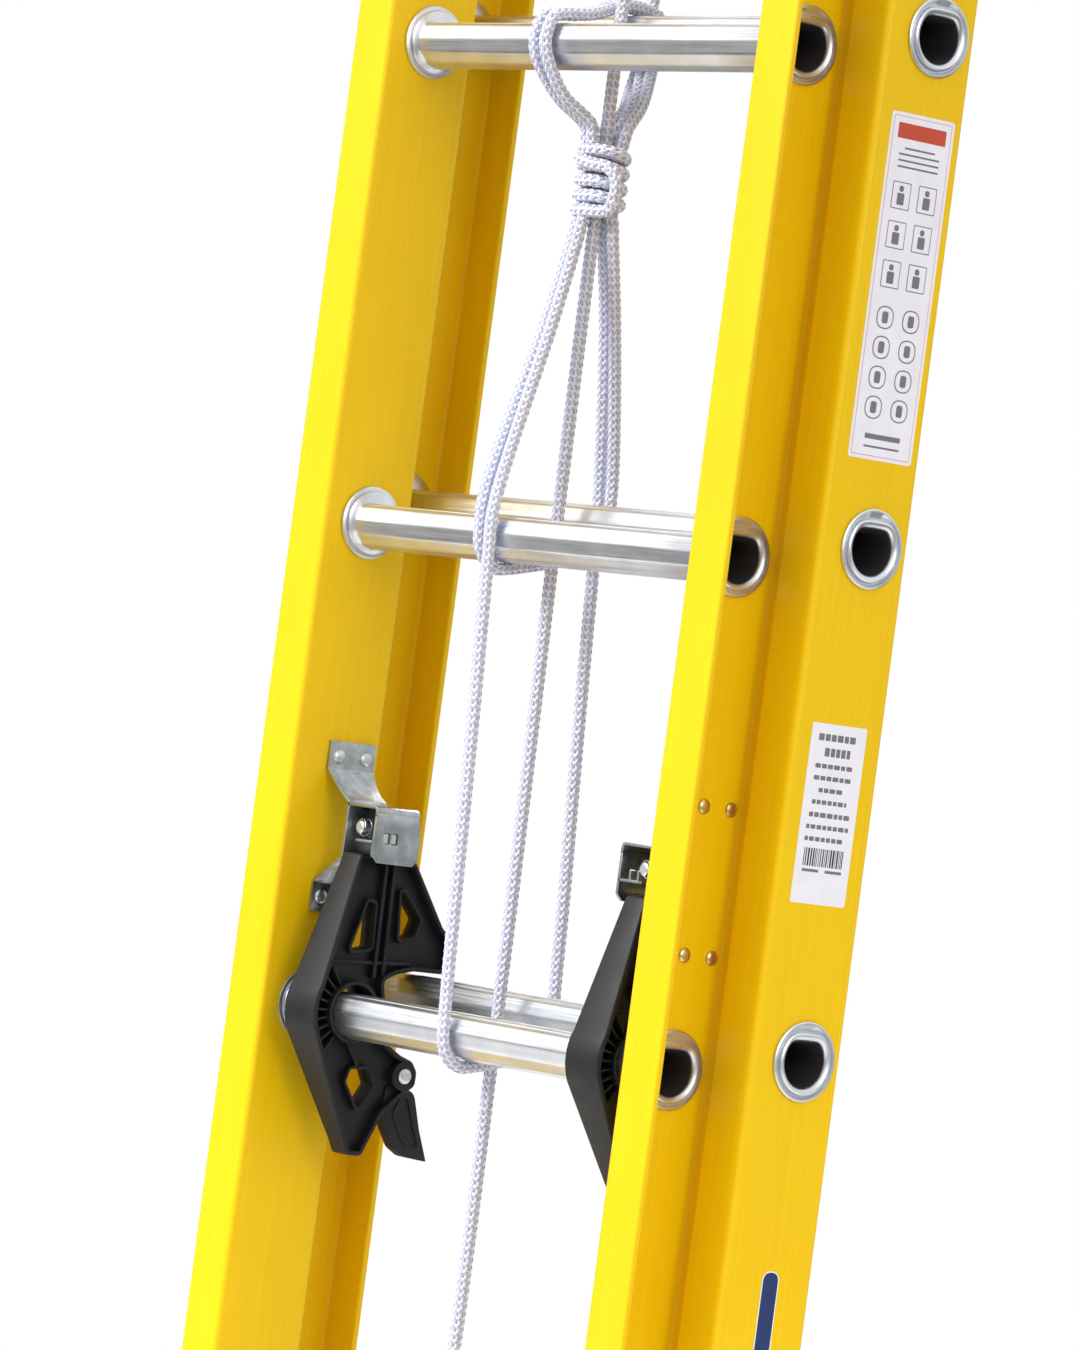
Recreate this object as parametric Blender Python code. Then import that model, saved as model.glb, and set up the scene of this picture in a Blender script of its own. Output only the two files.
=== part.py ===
"""Two-section fibreglass extension ladder, upright and closed, with its rope lashed for storage.

Frame: metres, +Z up along the rails, +X across the ladder, +Y from the climbing side to the
back. The origin is on the floor, in the middle of the ladder's outline.
The base section stands on swivel shoes. The fly section slides up in front of it, and its two
rung locks hook over the base rungs. Pieces on the left are named for -X.
"""

import math

import bmesh
import bpy
from mathutils import Vector

MM = 0.001
LEFT, RIGHT = -1, 1
SIDES = {"left": LEFT, "right": RIGHT}
CLEARANCE = 0.3 * MM  # between pieces that touch
RUNNING = 0.5 * MM  # between pieces that turn or slide on each other

# Rungs
RUNG_COUNT = 8
RUNG_PITCH = 300 * MM
RUNG_RADIUS = 16.5 * MM  # round underside of the tube
RUNG_FLAT = 11.5 * MM  # height of the flat tread over the rung's axis
RUNG_WALL = 1.8 * MM
RUNG_SIDES = 12
NECK_RADIUS = 18.2 * MM  # swaged round where it goes through the rail
COLLAR_RADIUS = 22.5 * MM  # bead against the rail's inner face
COLLAR_WIDTH = 4.5 * MM
SWAGE_RUN = 1.5 * MM  # from the bead back to the full tread section
LIP_RADIUS = 23.6 * MM  # flared over the rail's outer face
LIP_THICK = 1.8 * MM

# Fly section, in front
FLY_WEB_INNER = 171.2 * MM  # half the clear width between its rails
FLY_FLANGE = 33.5 * MM  # from the web's inner face to the flange tip
FLY_FRONT_DEPTH = 35.2 * MM  # rung axis to the rail's front face
FLY_BACK_DEPTH = 32.3 * MM
FLY_BOTTOM = 100 * MM  # height of the rail's lower end over the floor
FLY_ABOVE = 122 * MM  # rail above the last rung

# Base section, behind
BASE_HALF_WIDTH = 221.2 * MM
BASE_FLANGE = 33.5 * MM
BASE_DEPTH = 68.6 * MM
BASE_SETBACK = 21.5 * MM  # fly rung axis to the base rail's front face
BASE_AXIS_DEPTH = 39.0 * MM  # front face of the base rail to its rung axis
BASE_ABOVE = 75 * MM
RUNG_STEP = 14.7 * MM  # base rungs over the fly rungs when the locks are home
FIRST_RUNG = 190 * MM  # height of the first base rung over the floor

# Pultruded channels
RAIL_WALL = 4.3 * MM
RAIL_FILLET = 2 * MM

# Rung locks, on the second fly rung
LOCK_RUNG = 2
LOCK_THICK = 18 * MM  # its arms
LOCK_OFFSET = 27.7 * MM  # rail's inner face to the arms
HUB_THICK = 30 * MM
LOCK_HUB = 33.5 * MM  # rung axis to the nose
LOCK_REACH = 97 * MM  # rung axis to the upper and lower tips
HOOK_SEAT = 28.5 * MM  # underside of the hook over the fly rung's axis
HOOK_TIP = 75 * MM
PIN_BACK = 48.5 * MM
PIN_DROP = 36.5 * MM
PIN_RADIUS = 3 * MM
FLIPPER_THICK = 8 * MM
FLIPPER_LENGTH = 52 * MM

# Lock brackets
SHEET = 2 * MM
RIVET_RADIUS = 2.4 * MM
RIVET_HEAD = 4.6 * MM
RIVET_HEAD_THICK = 1.8 * MM
RIVET_BACK = (-1 * MM, 20 * MM)  # along the depth, from the rung axis
RIVET_UP = (LOCK_REACH - 30 * MM, LOCK_REACH + 57 * MM)
TAB_HALF = 9.5 * MM  # height of a tab either side of its rivets
BOX_LOW = LOCK_REACH + 4 * MM
BOX_HIGH = BOX_LOW + 24 * MM
BOX_FRONT = 8.5 * MM
BOX_BACK = 27.5 * MM
PLATE_GAP = 8 * MM  # lock's inner face to the box's inner plate
PLATE_LOW = LOCK_REACH - 4 * MM
SPRING_RADIUS = 6 * MM

# Swivel shoes
PIVOT_HEIGHT = 60 * MM
PIVOT_TO_RAIL_END = 20 * MM
SHOE_HALF_LENGTH = 52 * MM
SHOE_SHEET = 3 * MM
PAD_THICK = 11 * MM
BOLT_RADIUS = 5 * MM

# Pulley
PULLEY_X = -40 * MM
WHEEL_RADIUS = 32 * MM
AXLE_RADIUS = 5 * MM
AXLE_DROP = 56 * MM  # below the last base rung's axis
CHEEK_SHEET = 2.5 * MM

# Slide guides and caps
GUIDE_HEIGHT = 45 * MM
CAP_WALL = 2 * MM
CAP_DEPTH = 22 * MM
CAP_TOP = 3 * MM

# Rope
ROPE_RADIUS = 4 * MM
WHEEL_WIDTH = 2 * ROPE_RADIUS + 6 * MM
ROPE_SIDES = 2  # bevel resolution, for 8 sides
KNOT_UP = 2 * RUNG_PITCH - 80 * MM  # knot's middle over the lock rung
KNOT_HEIGHT = 50 * MM
KNOT_HALF_WIDTH = 19 * MM
KNOT_HALF_DEPTH = 15 * MM

# Worked out from the sizes above
SHOE_REACH = BASE_SETBACK + BASE_DEPTH / 2 + SHOE_HALF_LENGTH
FLY_REACH = FLY_FRONT_DEPTH + CAP_WALL
FLY_Y = (FLY_REACH - SHOE_REACH) / 2  # fly rung axis, which centres the outline on Y
BASE_FRONT_Y = FLY_Y + BASE_SETBACK
BASE_Y = BASE_FRONT_Y + BASE_AXIS_DEPTH
BASE_BOTTOM = PIVOT_HEIGHT - PIVOT_TO_RAIL_END
BASE_TOP = FIRST_RUNG + RUNG_PITCH * (RUNG_COUNT - 1) + BASE_ABOVE
FLY_FIRST = FIRST_RUNG - RUNG_STEP
FLY_TOP = FLY_FIRST + RUNG_PITCH * (RUNG_COUNT - 1) + FLY_ABOVE
LOCK_Z = FLY_FIRST + RUNG_PITCH * (LOCK_RUNG - 1)
LOCK_INNER = FLY_WEB_INNER - LOCK_OFFSET - LOCK_THICK
LOCK_OUTER = FLY_WEB_INNER - LOCK_OFFSET
FLY_WEB_OUTER = FLY_WEB_INNER + RAIL_WALL


def clear_scene():
    for obj in list(bpy.data.objects):
        bpy.data.objects.remove(obj, do_unlink=True)


def material(name, colour, roughness, metallic=0.0):
    """A plain Principled material of one colour."""
    made = bpy.data.materials.new(name)
    made.use_nodes = True
    shader = made.node_tree.nodes["Principled BSDF"]
    shader.inputs["Base Color"].default_value = (*colour, 1.0)
    shader.inputs["Roughness"].default_value = roughness
    shader.inputs["Metallic"].default_value = metallic
    return made


def make_materials():
    return {
        "fibreglass": material("yellow_fibreglass", (0.84, 0.52, 0.0), 0.4),
        "aluminium": material("mill_aluminium", (0.78, 0.79, 0.80), 0.3, 1.0),
        "zinc": material("zinc_plated_steel", (0.62, 0.64, 0.66), 0.35, 1.0),
        "nylon": material("black_nylon", (0.02, 0.021, 0.023), 0.5),
        "rubber": material("black_rubber", (0.03, 0.03, 0.03), 0.8),
        "rope": material("white_rope", (0.78, 0.76, 0.82), 0.8),
    }


def fly_rung_z(number):
    return FLY_FIRST + RUNG_PITCH * (number - 1)


def base_rung_z(number):
    return FIRST_RUNG + RUNG_PITCH * (number - 1)


def finish(name, mesh_data, look):
    """Turns a bmesh into a named object with its material, faces out and round sides smooth."""
    bmesh.ops.recalc_face_normals(mesh_data, faces=mesh_data.faces)
    mesh = bpy.data.meshes.new(name)
    mesh_data.to_mesh(mesh)
    mesh_data.free()
    mesh.shade_smooth()
    mesh.set_sharp_from_angle(angle=math.radians(35))
    if look is not None:
        mesh.materials.append(look)
    obj = bpy.data.objects.new(name, mesh)
    bpy.context.collection.objects.link(obj)
    return obj


def loft(name, rings, look, closed=False):
    """Skins rings of equal size. A closed loft joins the last to the first, as round a tube."""
    shape = bmesh.new()
    rows = [[shape.verts.new(point) for point in ring] for ring in rings]
    count = len(rows[0])
    pairs = list(zip(rows, rows[1:]))
    if closed:
        pairs.append((rows[-1], rows[0]))
    for first, second in pairs:
        for i in range(count):
            j = (i + 1) % count
            shape.faces.new((first[i], first[j], second[j], second[i]))
    if not closed:
        shape.faces.new(rows[0])
        shape.faces.new(rows[-1])
    return finish(name, shape, look)


def prism(name, outline, low, high, look, axis="Z"):
    """Extrudes an outline. Along Z it holds (x, y) points, and along X it holds (y, z) points."""

    def place(point, along):
        return (point[0], point[1], along) if axis == "Z" else (along, point[0], point[1])

    rings = [[place(point, along) for point in outline] for along in (low, high)]
    return loft(name, rings, look)


def mirrored(outline, side):
    """An outline drawn for the right side, in (x, y) points, moved to either side."""
    return [(side * x, y) for x, y in outline]


def circle(centre, radius, count, start=0.0):
    """Points (u, v) round a centre."""
    turn = 2 * math.pi / count
    return [
        (centre[0] + radius * math.cos(start + turn * i), centre[1] + radius * math.sin(start + turn * i))
        for i in range(count)
    ]


def arc(centre, radius, first, last, steps):
    """Points (u, v) along an arc, with angles in degrees."""
    angles = [math.radians(first + (last - first) * i / steps) for i in range(steps + 1)]
    return [(centre[0] + radius * math.cos(a), centre[1] + radius * math.sin(a)) for a in angles]


def cutter(name, shape_maker, *args, **kwargs):
    """A helper solid that only cuts."""
    made = shape_maker(name, *args, None, **kwargs)
    made.hide_render = True
    made.display_type = "WIRE"
    return made


def combine(target, others, operation="DIFFERENCE"):
    for other in others:
        step = target.modifiers.new(other.name, "BOOLEAN")
        step.operation = operation
        step.solver = "EXACT"
        step.object = other


def rung_ring(x, y, z, radius, flat=None):
    """One ring of a rung, round or with the flat tread."""
    ring = []
    for across, up in circle((0, 0), radius, RUNG_SIDES, math.pi / RUNG_SIDES):
        ring.append((x, y + across, z + (up if flat is None else min(up, flat))))
    return ring


def build_rung(name, web_inner, y, z, look):
    """A tube with a flat tread, swaged round at its ends: a bead inside the rail, a lip outside."""
    web_outer = web_inner + RAIL_WALL
    half = [
        (web_inner - COLLAR_WIDTH - SWAGE_RUN, RUNG_RADIUS, RUNG_FLAT),
        (web_inner - COLLAR_WIDTH, COLLAR_RADIUS, None),
        (web_inner - CLEARANCE, COLLAR_RADIUS, None),
        (web_inner - CLEARANCE, NECK_RADIUS, None),
        (web_outer + CLEARANCE, NECK_RADIUS, None),
        (web_outer + CLEARANCE, LIP_RADIUS, None),
        (web_outer + LIP_THICK, LIP_RADIUS, None),
    ]
    end = web_outer + LIP_THICK
    bore_radius, bore_flat = RUNG_RADIUS - RUNG_WALL, RUNG_FLAT - RUNG_WALL
    rings = [rung_ring(-x, y, z, radius, flat) for x, radius, flat in reversed(half)]
    rings += [rung_ring(x, y, z, radius, flat) for x, radius, flat in half]
    rings += [rung_ring(end, y, z, bore_radius, bore_flat), rung_ring(-end, y, z, bore_radius, bore_flat)]
    return loft(name, rings, look, closed=True)


def channel(web, tip, front, back):
    """Outline of a pultruded channel in (x, y): web from x=web, flanges ending at x=tip."""
    way = 1 if tip > web else -1
    inner = web + way * RAIL_WALL
    fillet = RAIL_FILLET
    return [
        (web + way * fillet, front),
        (tip, front),
        (tip, front + RAIL_WALL),
        (inner + way * fillet, front + RAIL_WALL),
        (inner, front + RAIL_WALL + fillet),
        (inner, back - RAIL_WALL - fillet),
        (inner + way * fillet, back - RAIL_WALL),
        (tip, back - RAIL_WALL),
        (tip, back),
        (web + way * fillet, back),
        (web, back - fillet),
        (web, front + fillet),
    ]


def bore(name, side, x_low, x_high, y, z, radius, sides):
    """A cutter along X through one rail or bracket."""
    low, high = sorted((side * x_low, side * x_high))
    return cutter(name, prism, circle((y, z), radius, sides, math.pi / sides), low, high, axis="X")


def rung_bores(label, side, web_inner, y, heights):
    radius = (NECK_RADIUS + CLEARANCE) / math.cos(math.pi / RUNG_SIDES)
    return [
        bore(f"cut_{label}_{i}", side, web_inner - RAIL_WALL, web_inner + 2 * RAIL_WALL, y, z, radius, RUNG_SIDES)
        for i, z in enumerate(heights)
    ]


def rivet_places():
    return [(FLY_Y + back, LOCK_Z + up) for up in RIVET_UP for back in RIVET_BACK]


def rivet_bores(label, side, x_low, x_high):
    radius = RIVET_RADIUS + CLEARANCE
    return [
        bore(f"cut_{label}_rivet_{i}", side, x_low, x_high, y, z, radius, 8)
        for i, (y, z) in enumerate(rivet_places())
    ]


def build_fly(looks):
    heights = [fly_rung_z(n) for n in range(1, RUNG_COUNT + 1)]
    outline = channel(
        FLY_WEB_INNER, FLY_WEB_INNER + FLY_FLANGE, FLY_Y - FLY_FRONT_DEPTH, FLY_Y + FLY_BACK_DEPTH
    )
    for word, side in SIDES.items():
        rail = prism(f"fly_rail_{word}", mirrored(outline, side), FLY_BOTTOM, FLY_TOP, looks["fibreglass"])
        label = f"fly_{word}"
        cuts = rung_bores(label, side, FLY_WEB_INNER, FLY_Y, heights)
        cuts += rivet_bores(label, side, FLY_WEB_INNER - RAIL_WALL, FLY_WEB_OUTER + RAIL_WALL)
        combine(rail, cuts)
    for number, z in enumerate(heights, 1):
        build_rung(f"fly_rung_{number}", FLY_WEB_INNER, FLY_Y, z, looks["aluminium"])


def build_base(looks):
    heights = [base_rung_z(n) for n in range(1, RUNG_COUNT + 1)]
    web_inner = BASE_HALF_WIDTH - RAIL_WALL
    outline = channel(
        BASE_HALF_WIDTH, BASE_HALF_WIDTH - BASE_FLANGE, BASE_FRONT_Y, BASE_FRONT_Y + BASE_DEPTH
    )
    bolt_y = BASE_FRONT_Y + BASE_DEPTH / 2
    for word, side in SIDES.items():
        rail = prism(f"base_rail_{word}", mirrored(outline, side), BASE_BOTTOM, BASE_TOP, looks["fibreglass"])
        label = f"base_{word}"
        cuts = rung_bores(label, side, web_inner, BASE_Y, heights)
        cuts.append(
            bore(
                f"cut_{label}_bolt", side, web_inner - RAIL_WALL, BASE_HALF_WIDTH + RAIL_WALL,
                bolt_y, PIVOT_HEIGHT, BOLT_RADIUS + RUNNING, 12,
            )
        )
        combine(rail, cuts)
    for number, z in enumerate(heights, 1):
        build_rung(f"base_rung_{number}", web_inner, BASE_Y, z, looks["aluminium"])


def lock_nose():
    """Front of the hub in (y, z)."""
    return arc((FLY_Y, LOCK_Z), LOCK_HUB, 205, 155, 5)


def lock_outline():
    """Kite round the rung in (y, z): upper tip, hook over the base rung, arm to the pin, lower tip."""
    y, z = FLY_Y, LOCK_Z
    upper = [(y - 8 * MM, z + LOCK_REACH), (y + 35 * MM, z + LOCK_REACH)]
    hook = [
        (y + HOOK_TIP - 11 * MM, z + HOOK_SEAT + 28.5 * MM),
        (y + HOOK_TIP - 1 * MM, z + HOOK_SEAT + 21 * MM),
        (y + HOOK_TIP, z + HOOK_SEAT + 3 * MM),
        (y + HOOK_TIP - 3 * MM, z + HOOK_SEAT),
        (y + 45 * MM, z + HOOK_SEAT),
        (y + 32 * MM, z + 25.5 * MM),
        (y + 23 * MM, z + 21 * MM),
        (y + 26 * MM, z + 8 * MM),
        (y + 27 * MM, z - 8 * MM),
    ]
    arm = [
        (y + 31 * MM, z - 17 * MM),
        (y + PIN_BACK - 4.5 * MM, z - PIN_DROP + 12.5 * MM),
        (y + PIN_BACK + 5 * MM, z - PIN_DROP + 9.5 * MM),
        (y + PIN_BACK + 9.5 * MM, z - PIN_DROP + 3.5 * MM),
        (y + PIN_BACK + 9.5 * MM, z - PIN_DROP - 5.5 * MM),
        (y + PIN_BACK + 1.5 * MM, z - PIN_DROP - 11.5 * MM),
        (y + PIN_BACK - 12.5 * MM, z - PIN_DROP - 24.5 * MM),
    ]
    lower = [(y + 24 * MM, z - LOCK_REACH + 9 * MM), (y + 12.5 * MM, z - LOCK_REACH + 9 * MM), (y + 8 * MM, z - LOCK_REACH + 17 * MM)]
    return lock_nose() + upper + hook + arm + lower


def lock_windows():
    """Openings through the lock's web, in (y, z)."""
    y, z = FLY_Y, LOCK_Z
    front = [(-4, 38), (11, 40.5), (9.5, 67), (5, 67)]
    back = [(30, 79), (33.5, 46.5), (43.5, 51), (46, 60)]
    low = [(8.5, -36), (21.5, -35.5), (26.5, -44), (17.5, -59), (6.5, -42.5)]
    return [[(y + a * MM, z + b * MM) for a, b in shape] for shape in (front, back, low)]


def build_locks(looks):
    for word, side in SIDES.items():
        low, high = sorted((side * LOCK_INNER, side * LOCK_OUTER))
        past = 2 * MM
        lock = prism(f"rung_lock_{word}", lock_outline(), low, high, looks["nylon"], axis="X")
        hub_radius = (RUNG_RADIUS + RUNNING) / math.cos(math.pi / 20)
        middle = side * (LOCK_INNER + LOCK_OUTER) / 2
        block = lock_nose() + [(FLY_Y + a * MM, LOCK_Z + b * MM) for a, b in ((-25, 29), (21, 18), (21, -18), (-22, -27))]
        hub = cutter(f"add_hub_{word}", prism, block, middle - HUB_THICK / 2, middle + HUB_THICK / 2, axis="X")
        combine(lock, [hub], "UNION")
        cuts = [bore(f"cut_hub_{word}", side, abs(middle) - HUB_THICK, abs(middle) + HUB_THICK, FLY_Y, LOCK_Z, hub_radius, 20)]
        for i, shape in enumerate(lock_windows()):
            cuts.append(cutter(f"cut_window_{word}_{i}", prism, shape, low - past, high + past, axis="X"))
        pin_y, pin_z = FLY_Y + PIN_BACK, LOCK_Z - PIN_DROP
        cuts.append(
            bore(f"cut_pin_{word}", side, LOCK_INNER - past, LOCK_OUTER + past, pin_y, pin_z, PIN_RADIUS + CLEARANCE, 12)
        )
        slot = FLIPPER_THICK / 2 + RUNNING
        fork = [
            (pin_y - 12 * MM, pin_z - 28 * MM),
            (pin_y + 14 * MM, pin_z - 28 * MM),
            (pin_y + 14 * MM, pin_z + 14 * MM),
            (pin_y - 12 * MM, pin_z + 14 * MM),
        ]
        cuts.append(cutter(f"cut_fork_{word}", prism, fork, middle - slot, middle + slot, axis="X"))
        combine(lock, cuts)
        build_flipper(word, side, middle, pin_y, pin_z, looks)


def build_flipper(word, side, middle, pin_y, pin_z, looks):
    """A hanging finger on a pin, which swings back and up as it passes a base rung."""
    boss = 8.5 * MM
    blade = arc((pin_y, pin_z), boss, 25, 178, 8)
    blade += [
        (pin_y - 9.5 * MM, pin_z - 7 * MM),
        (pin_y - 10.5 * MM, pin_z - 26 * MM),
        (pin_y + 3 * MM, pin_z - FLIPPER_LENGTH + 7 * MM),
        (pin_y + 12 * MM, pin_z - FLIPPER_LENGTH + 2 * MM),
        (pin_y + 30 * MM, pin_z - FLIPPER_LENGTH),
        (pin_y + 21.5 * MM, pin_z - 33 * MM),
        (pin_y + 13.5 * MM, pin_z - 9 * MM),
    ]
    half = FLIPPER_THICK / 2
    flipper = prism(f"lock_flipper_{word}", blade, middle - half, middle + half, looks["nylon"], axis="X")
    hole = bore(
        f"cut_flipper_{word}", side, abs(middle) - FLIPPER_THICK, abs(middle) + FLIPPER_THICK,
        pin_y, pin_z, PIN_RADIUS + CLEARANCE, 12,
    )
    combine(flipper, [hole])
    head = 5 * MM
    reach = LOCK_THICK / 2 + CLEARANCE
    profile = [
        (-reach - 1.5 * MM, head), (-reach, head), (-reach, PIN_RADIUS),
        (reach, PIN_RADIUS), (reach, head), (reach + 1.5 * MM, head),
    ]
    turned_x(f"flipper_pin_{word}", profile, middle, pin_y, pin_z, 12, looks["zinc"])


def turned_x(name, profile, x, y, z, sides, look):
    """A turned piece along X from (along, radius) points."""
    rings = [
        [(x + along, v, w) for v, w in circle((y, z), radius, sides, math.pi / sides)]
        for along, radius in profile
    ]
    return loft(name, rings, look)


def bracket_profile(strip_x, box_x, plate_x):
    """Sheet in (x, z): two riveted tabs, bent in to a box with an inner plate."""
    low, tab_low = LOCK_Z + RIVET_UP[0] - TAB_HALF, LOCK_Z + RIVET_UP[0] + TAB_HALF
    tab_high, high = LOCK_Z + RIVET_UP[1] - TAB_HALF, LOCK_Z + RIVET_UP[1] + TAB_HALF
    top, foot = LOCK_Z + BOX_HIGH + SHEET, LOCK_Z + PLATE_LOW
    lap = 0.6 * SHEET  # keeps the slanted sheet as thick as the rest
    return [
        (strip_x, high), (strip_x, tab_high - lap), (box_x + SHEET, top - lap / 2), (box_x + SHEET, foot + lap / 2),
        (strip_x, tab_low + lap), (strip_x, low), (strip_x - SHEET, low), (strip_x - SHEET, tab_low),
        (box_x, foot - lap / 2), (box_x, foot), (plate_x - SHEET, foot), (plate_x - SHEET, top), (box_x, top),
        (strip_x - SHEET, tab_high), (strip_x - SHEET, high),
    ]


def build_brackets(looks):
    """Plated sheet brackets riveted inside the fly rails, boxed round the top of each lock."""
    strip_x = FLY_WEB_INNER - CLEARANCE
    box_x = LOCK_OUTER + RUNNING
    plate_x = LOCK_INNER - PLATE_GAP
    front, back = FLY_Y - BOX_FRONT, FLY_Y + BOX_BACK
    far = 10 * MM
    for word, side in SIDES.items():
        profile = bracket_profile(strip_x, box_x, plate_x)
        bracket = loft(f"lock_bracket_{word}", [[(side * x, y, z) for x, z in profile] for y in (front, back)], looks["zinc"])
        cuts = rivet_bores(f"bracket_{word}", side, strip_x - far, strip_x + far)
        for part, (y_end, z_high) in {
            "front": (back - SHEET, LOCK_Z + BOX_HIGH), "foot": (back + far, LOCK_Z + BOX_LOW),
        }.items():
            hollow = [(plate_x, front - far), (box_x, front - far), (box_x, y_end), (plate_x, y_end)]
            cuts.append(cutter(f"cut_{part}_{word}", prism, mirrored(hollow, side), LOCK_Z + PLATE_LOW - far, z_high))
        combine(bracket, cuts)
        build_rivets(word, side, strip_x - SHEET, looks)
        spring_x = side * (LOCK_INNER + LOCK_OUTER) / 2
        spring_z = LOCK_Z + (BOX_LOW + BOX_HIGH) / 2
        rings = [
            [(u, y, v) for u, v in circle((spring_x, spring_z), SPRING_RADIUS, 12)]
            for y in (front + 3 * MM, back - SHEET - CLEARANCE)
        ]
        loft(f"lock_spring_{word}", rings, looks["zinc"])


def build_rivets(word, side, inner_x, looks):
    for i, (y, z) in enumerate(rivet_places(), 1):
        profile = [
            (inner_x - CLEARANCE - RIVET_HEAD_THICK, 0.5 * RIVET_HEAD), (inner_x - CLEARANCE, RIVET_HEAD),
            (inner_x - CLEARANCE, RIVET_RADIUS), (FLY_WEB_OUTER + CLEARANCE, RIVET_RADIUS),
            (FLY_WEB_OUTER + CLEARANCE, RIVET_HEAD), (FLY_WEB_OUTER + CLEARANCE + RIVET_HEAD_THICK, 0.5 * RIVET_HEAD),
        ]
        turned_x(f"bracket_rivet_{word}_{i}", [(side * x, r) for x, r in profile], 0, y, z, 8, looks["zinc"])


def build_shoes(looks):
    """Swivel shoes: a folded steel fork on a bolt through the base rail, over a rubber pad."""
    y = BASE_FRONT_Y + BASE_DEPTH / 2
    outer = BASE_HALF_WIDTH + RUNNING
    inner = BASE_HALF_WIDTH - RAIL_WALL - RUNNING
    sole_top = PAD_THICK + SHOE_SHEET
    sole_inner = inner - SHOE_SHEET - 16 * MM
    sole_outer = outer + SHOE_SHEET
    ear_half = 15 * MM
    for word, side in SIDES.items():
        sole = prism(
            f"shoe_{word}",
            mirrored([(sole_inner, y - SHOE_HALF_LENGTH), (sole_outer, y - SHOE_HALF_LENGTH),
                      (sole_outer, y + SHOE_HALF_LENGTH), (sole_inner, y + SHOE_HALF_LENGTH)], side),
            PAD_THICK + CLEARANCE, sole_top, looks["zinc"],
        )
        ear = [(y - 28 * MM, PAD_THICK + 1 * MM), (y + 28 * MM, PAD_THICK + 1 * MM)]
        ear += arc((y, PIVOT_HEIGHT), ear_half, 0, 180, 8)
        for part, x in {"outer": outer, "inner": inner - SHOE_SHEET}.items():
            x_low, x_high = sorted((side * x, side * (x + SHOE_SHEET)))
            joined = cutter(f"add_ear_{part}_{word}", prism, ear, x_low, x_high, axis="X")
            combine(sole, [joined], "UNION")
        combine(sole, [bore(f"cut_shoe_{word}", side, sole_inner, sole_outer + SHOE_SHEET, y, PIVOT_HEIGHT, BOLT_RADIUS + CLEARANCE, 12)])
        pad_half = SHOE_HALF_LENGTH
        prism(
            f"shoe_pad_{word}",
            mirrored([(sole_inner, y - pad_half), (sole_outer, y - pad_half),
                      (sole_outer, y + pad_half), (sole_inner, y + pad_half)], side),
            0.0, PAD_THICK, looks["rubber"],
        )
        head = 8.5 * MM
        start, end = inner - SHOE_SHEET - CLEARANCE, sole_outer + CLEARANCE
        profile = [
            (start - 6 * MM, head), (start, head), (start, BOLT_RADIUS),
            (end, BOLT_RADIUS), (end, head), (end + 5 * MM, head),
        ]
        turned_x(f"shoe_bolt_{word}", [(side * x, r) for x, r in profile], 0, y, PIVOT_HEIGHT, 12, looks["zinc"])


def pulley_centre():
    """(y, z) of the axle: its rope falls half way between the rungs of the two sections."""
    front_gap = (FLY_Y + RUNG_RADIUS + BASE_Y - RUNG_RADIUS) / 2
    return front_gap + rope_wheel_radius(), base_rung_z(RUNG_COUNT) - AXLE_DROP


def rope_wheel_radius():
    """Axle to the middle of the rope, so that the rope's back fall clears the base rungs."""
    front_gap = (FLY_Y + RUNG_RADIUS + BASE_Y - RUNG_RADIUS) / 2
    back_fall = BASE_Y + RUNG_RADIUS + ROPE_RADIUS + 3 * MM
    return (back_fall - front_gap) / 2


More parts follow.
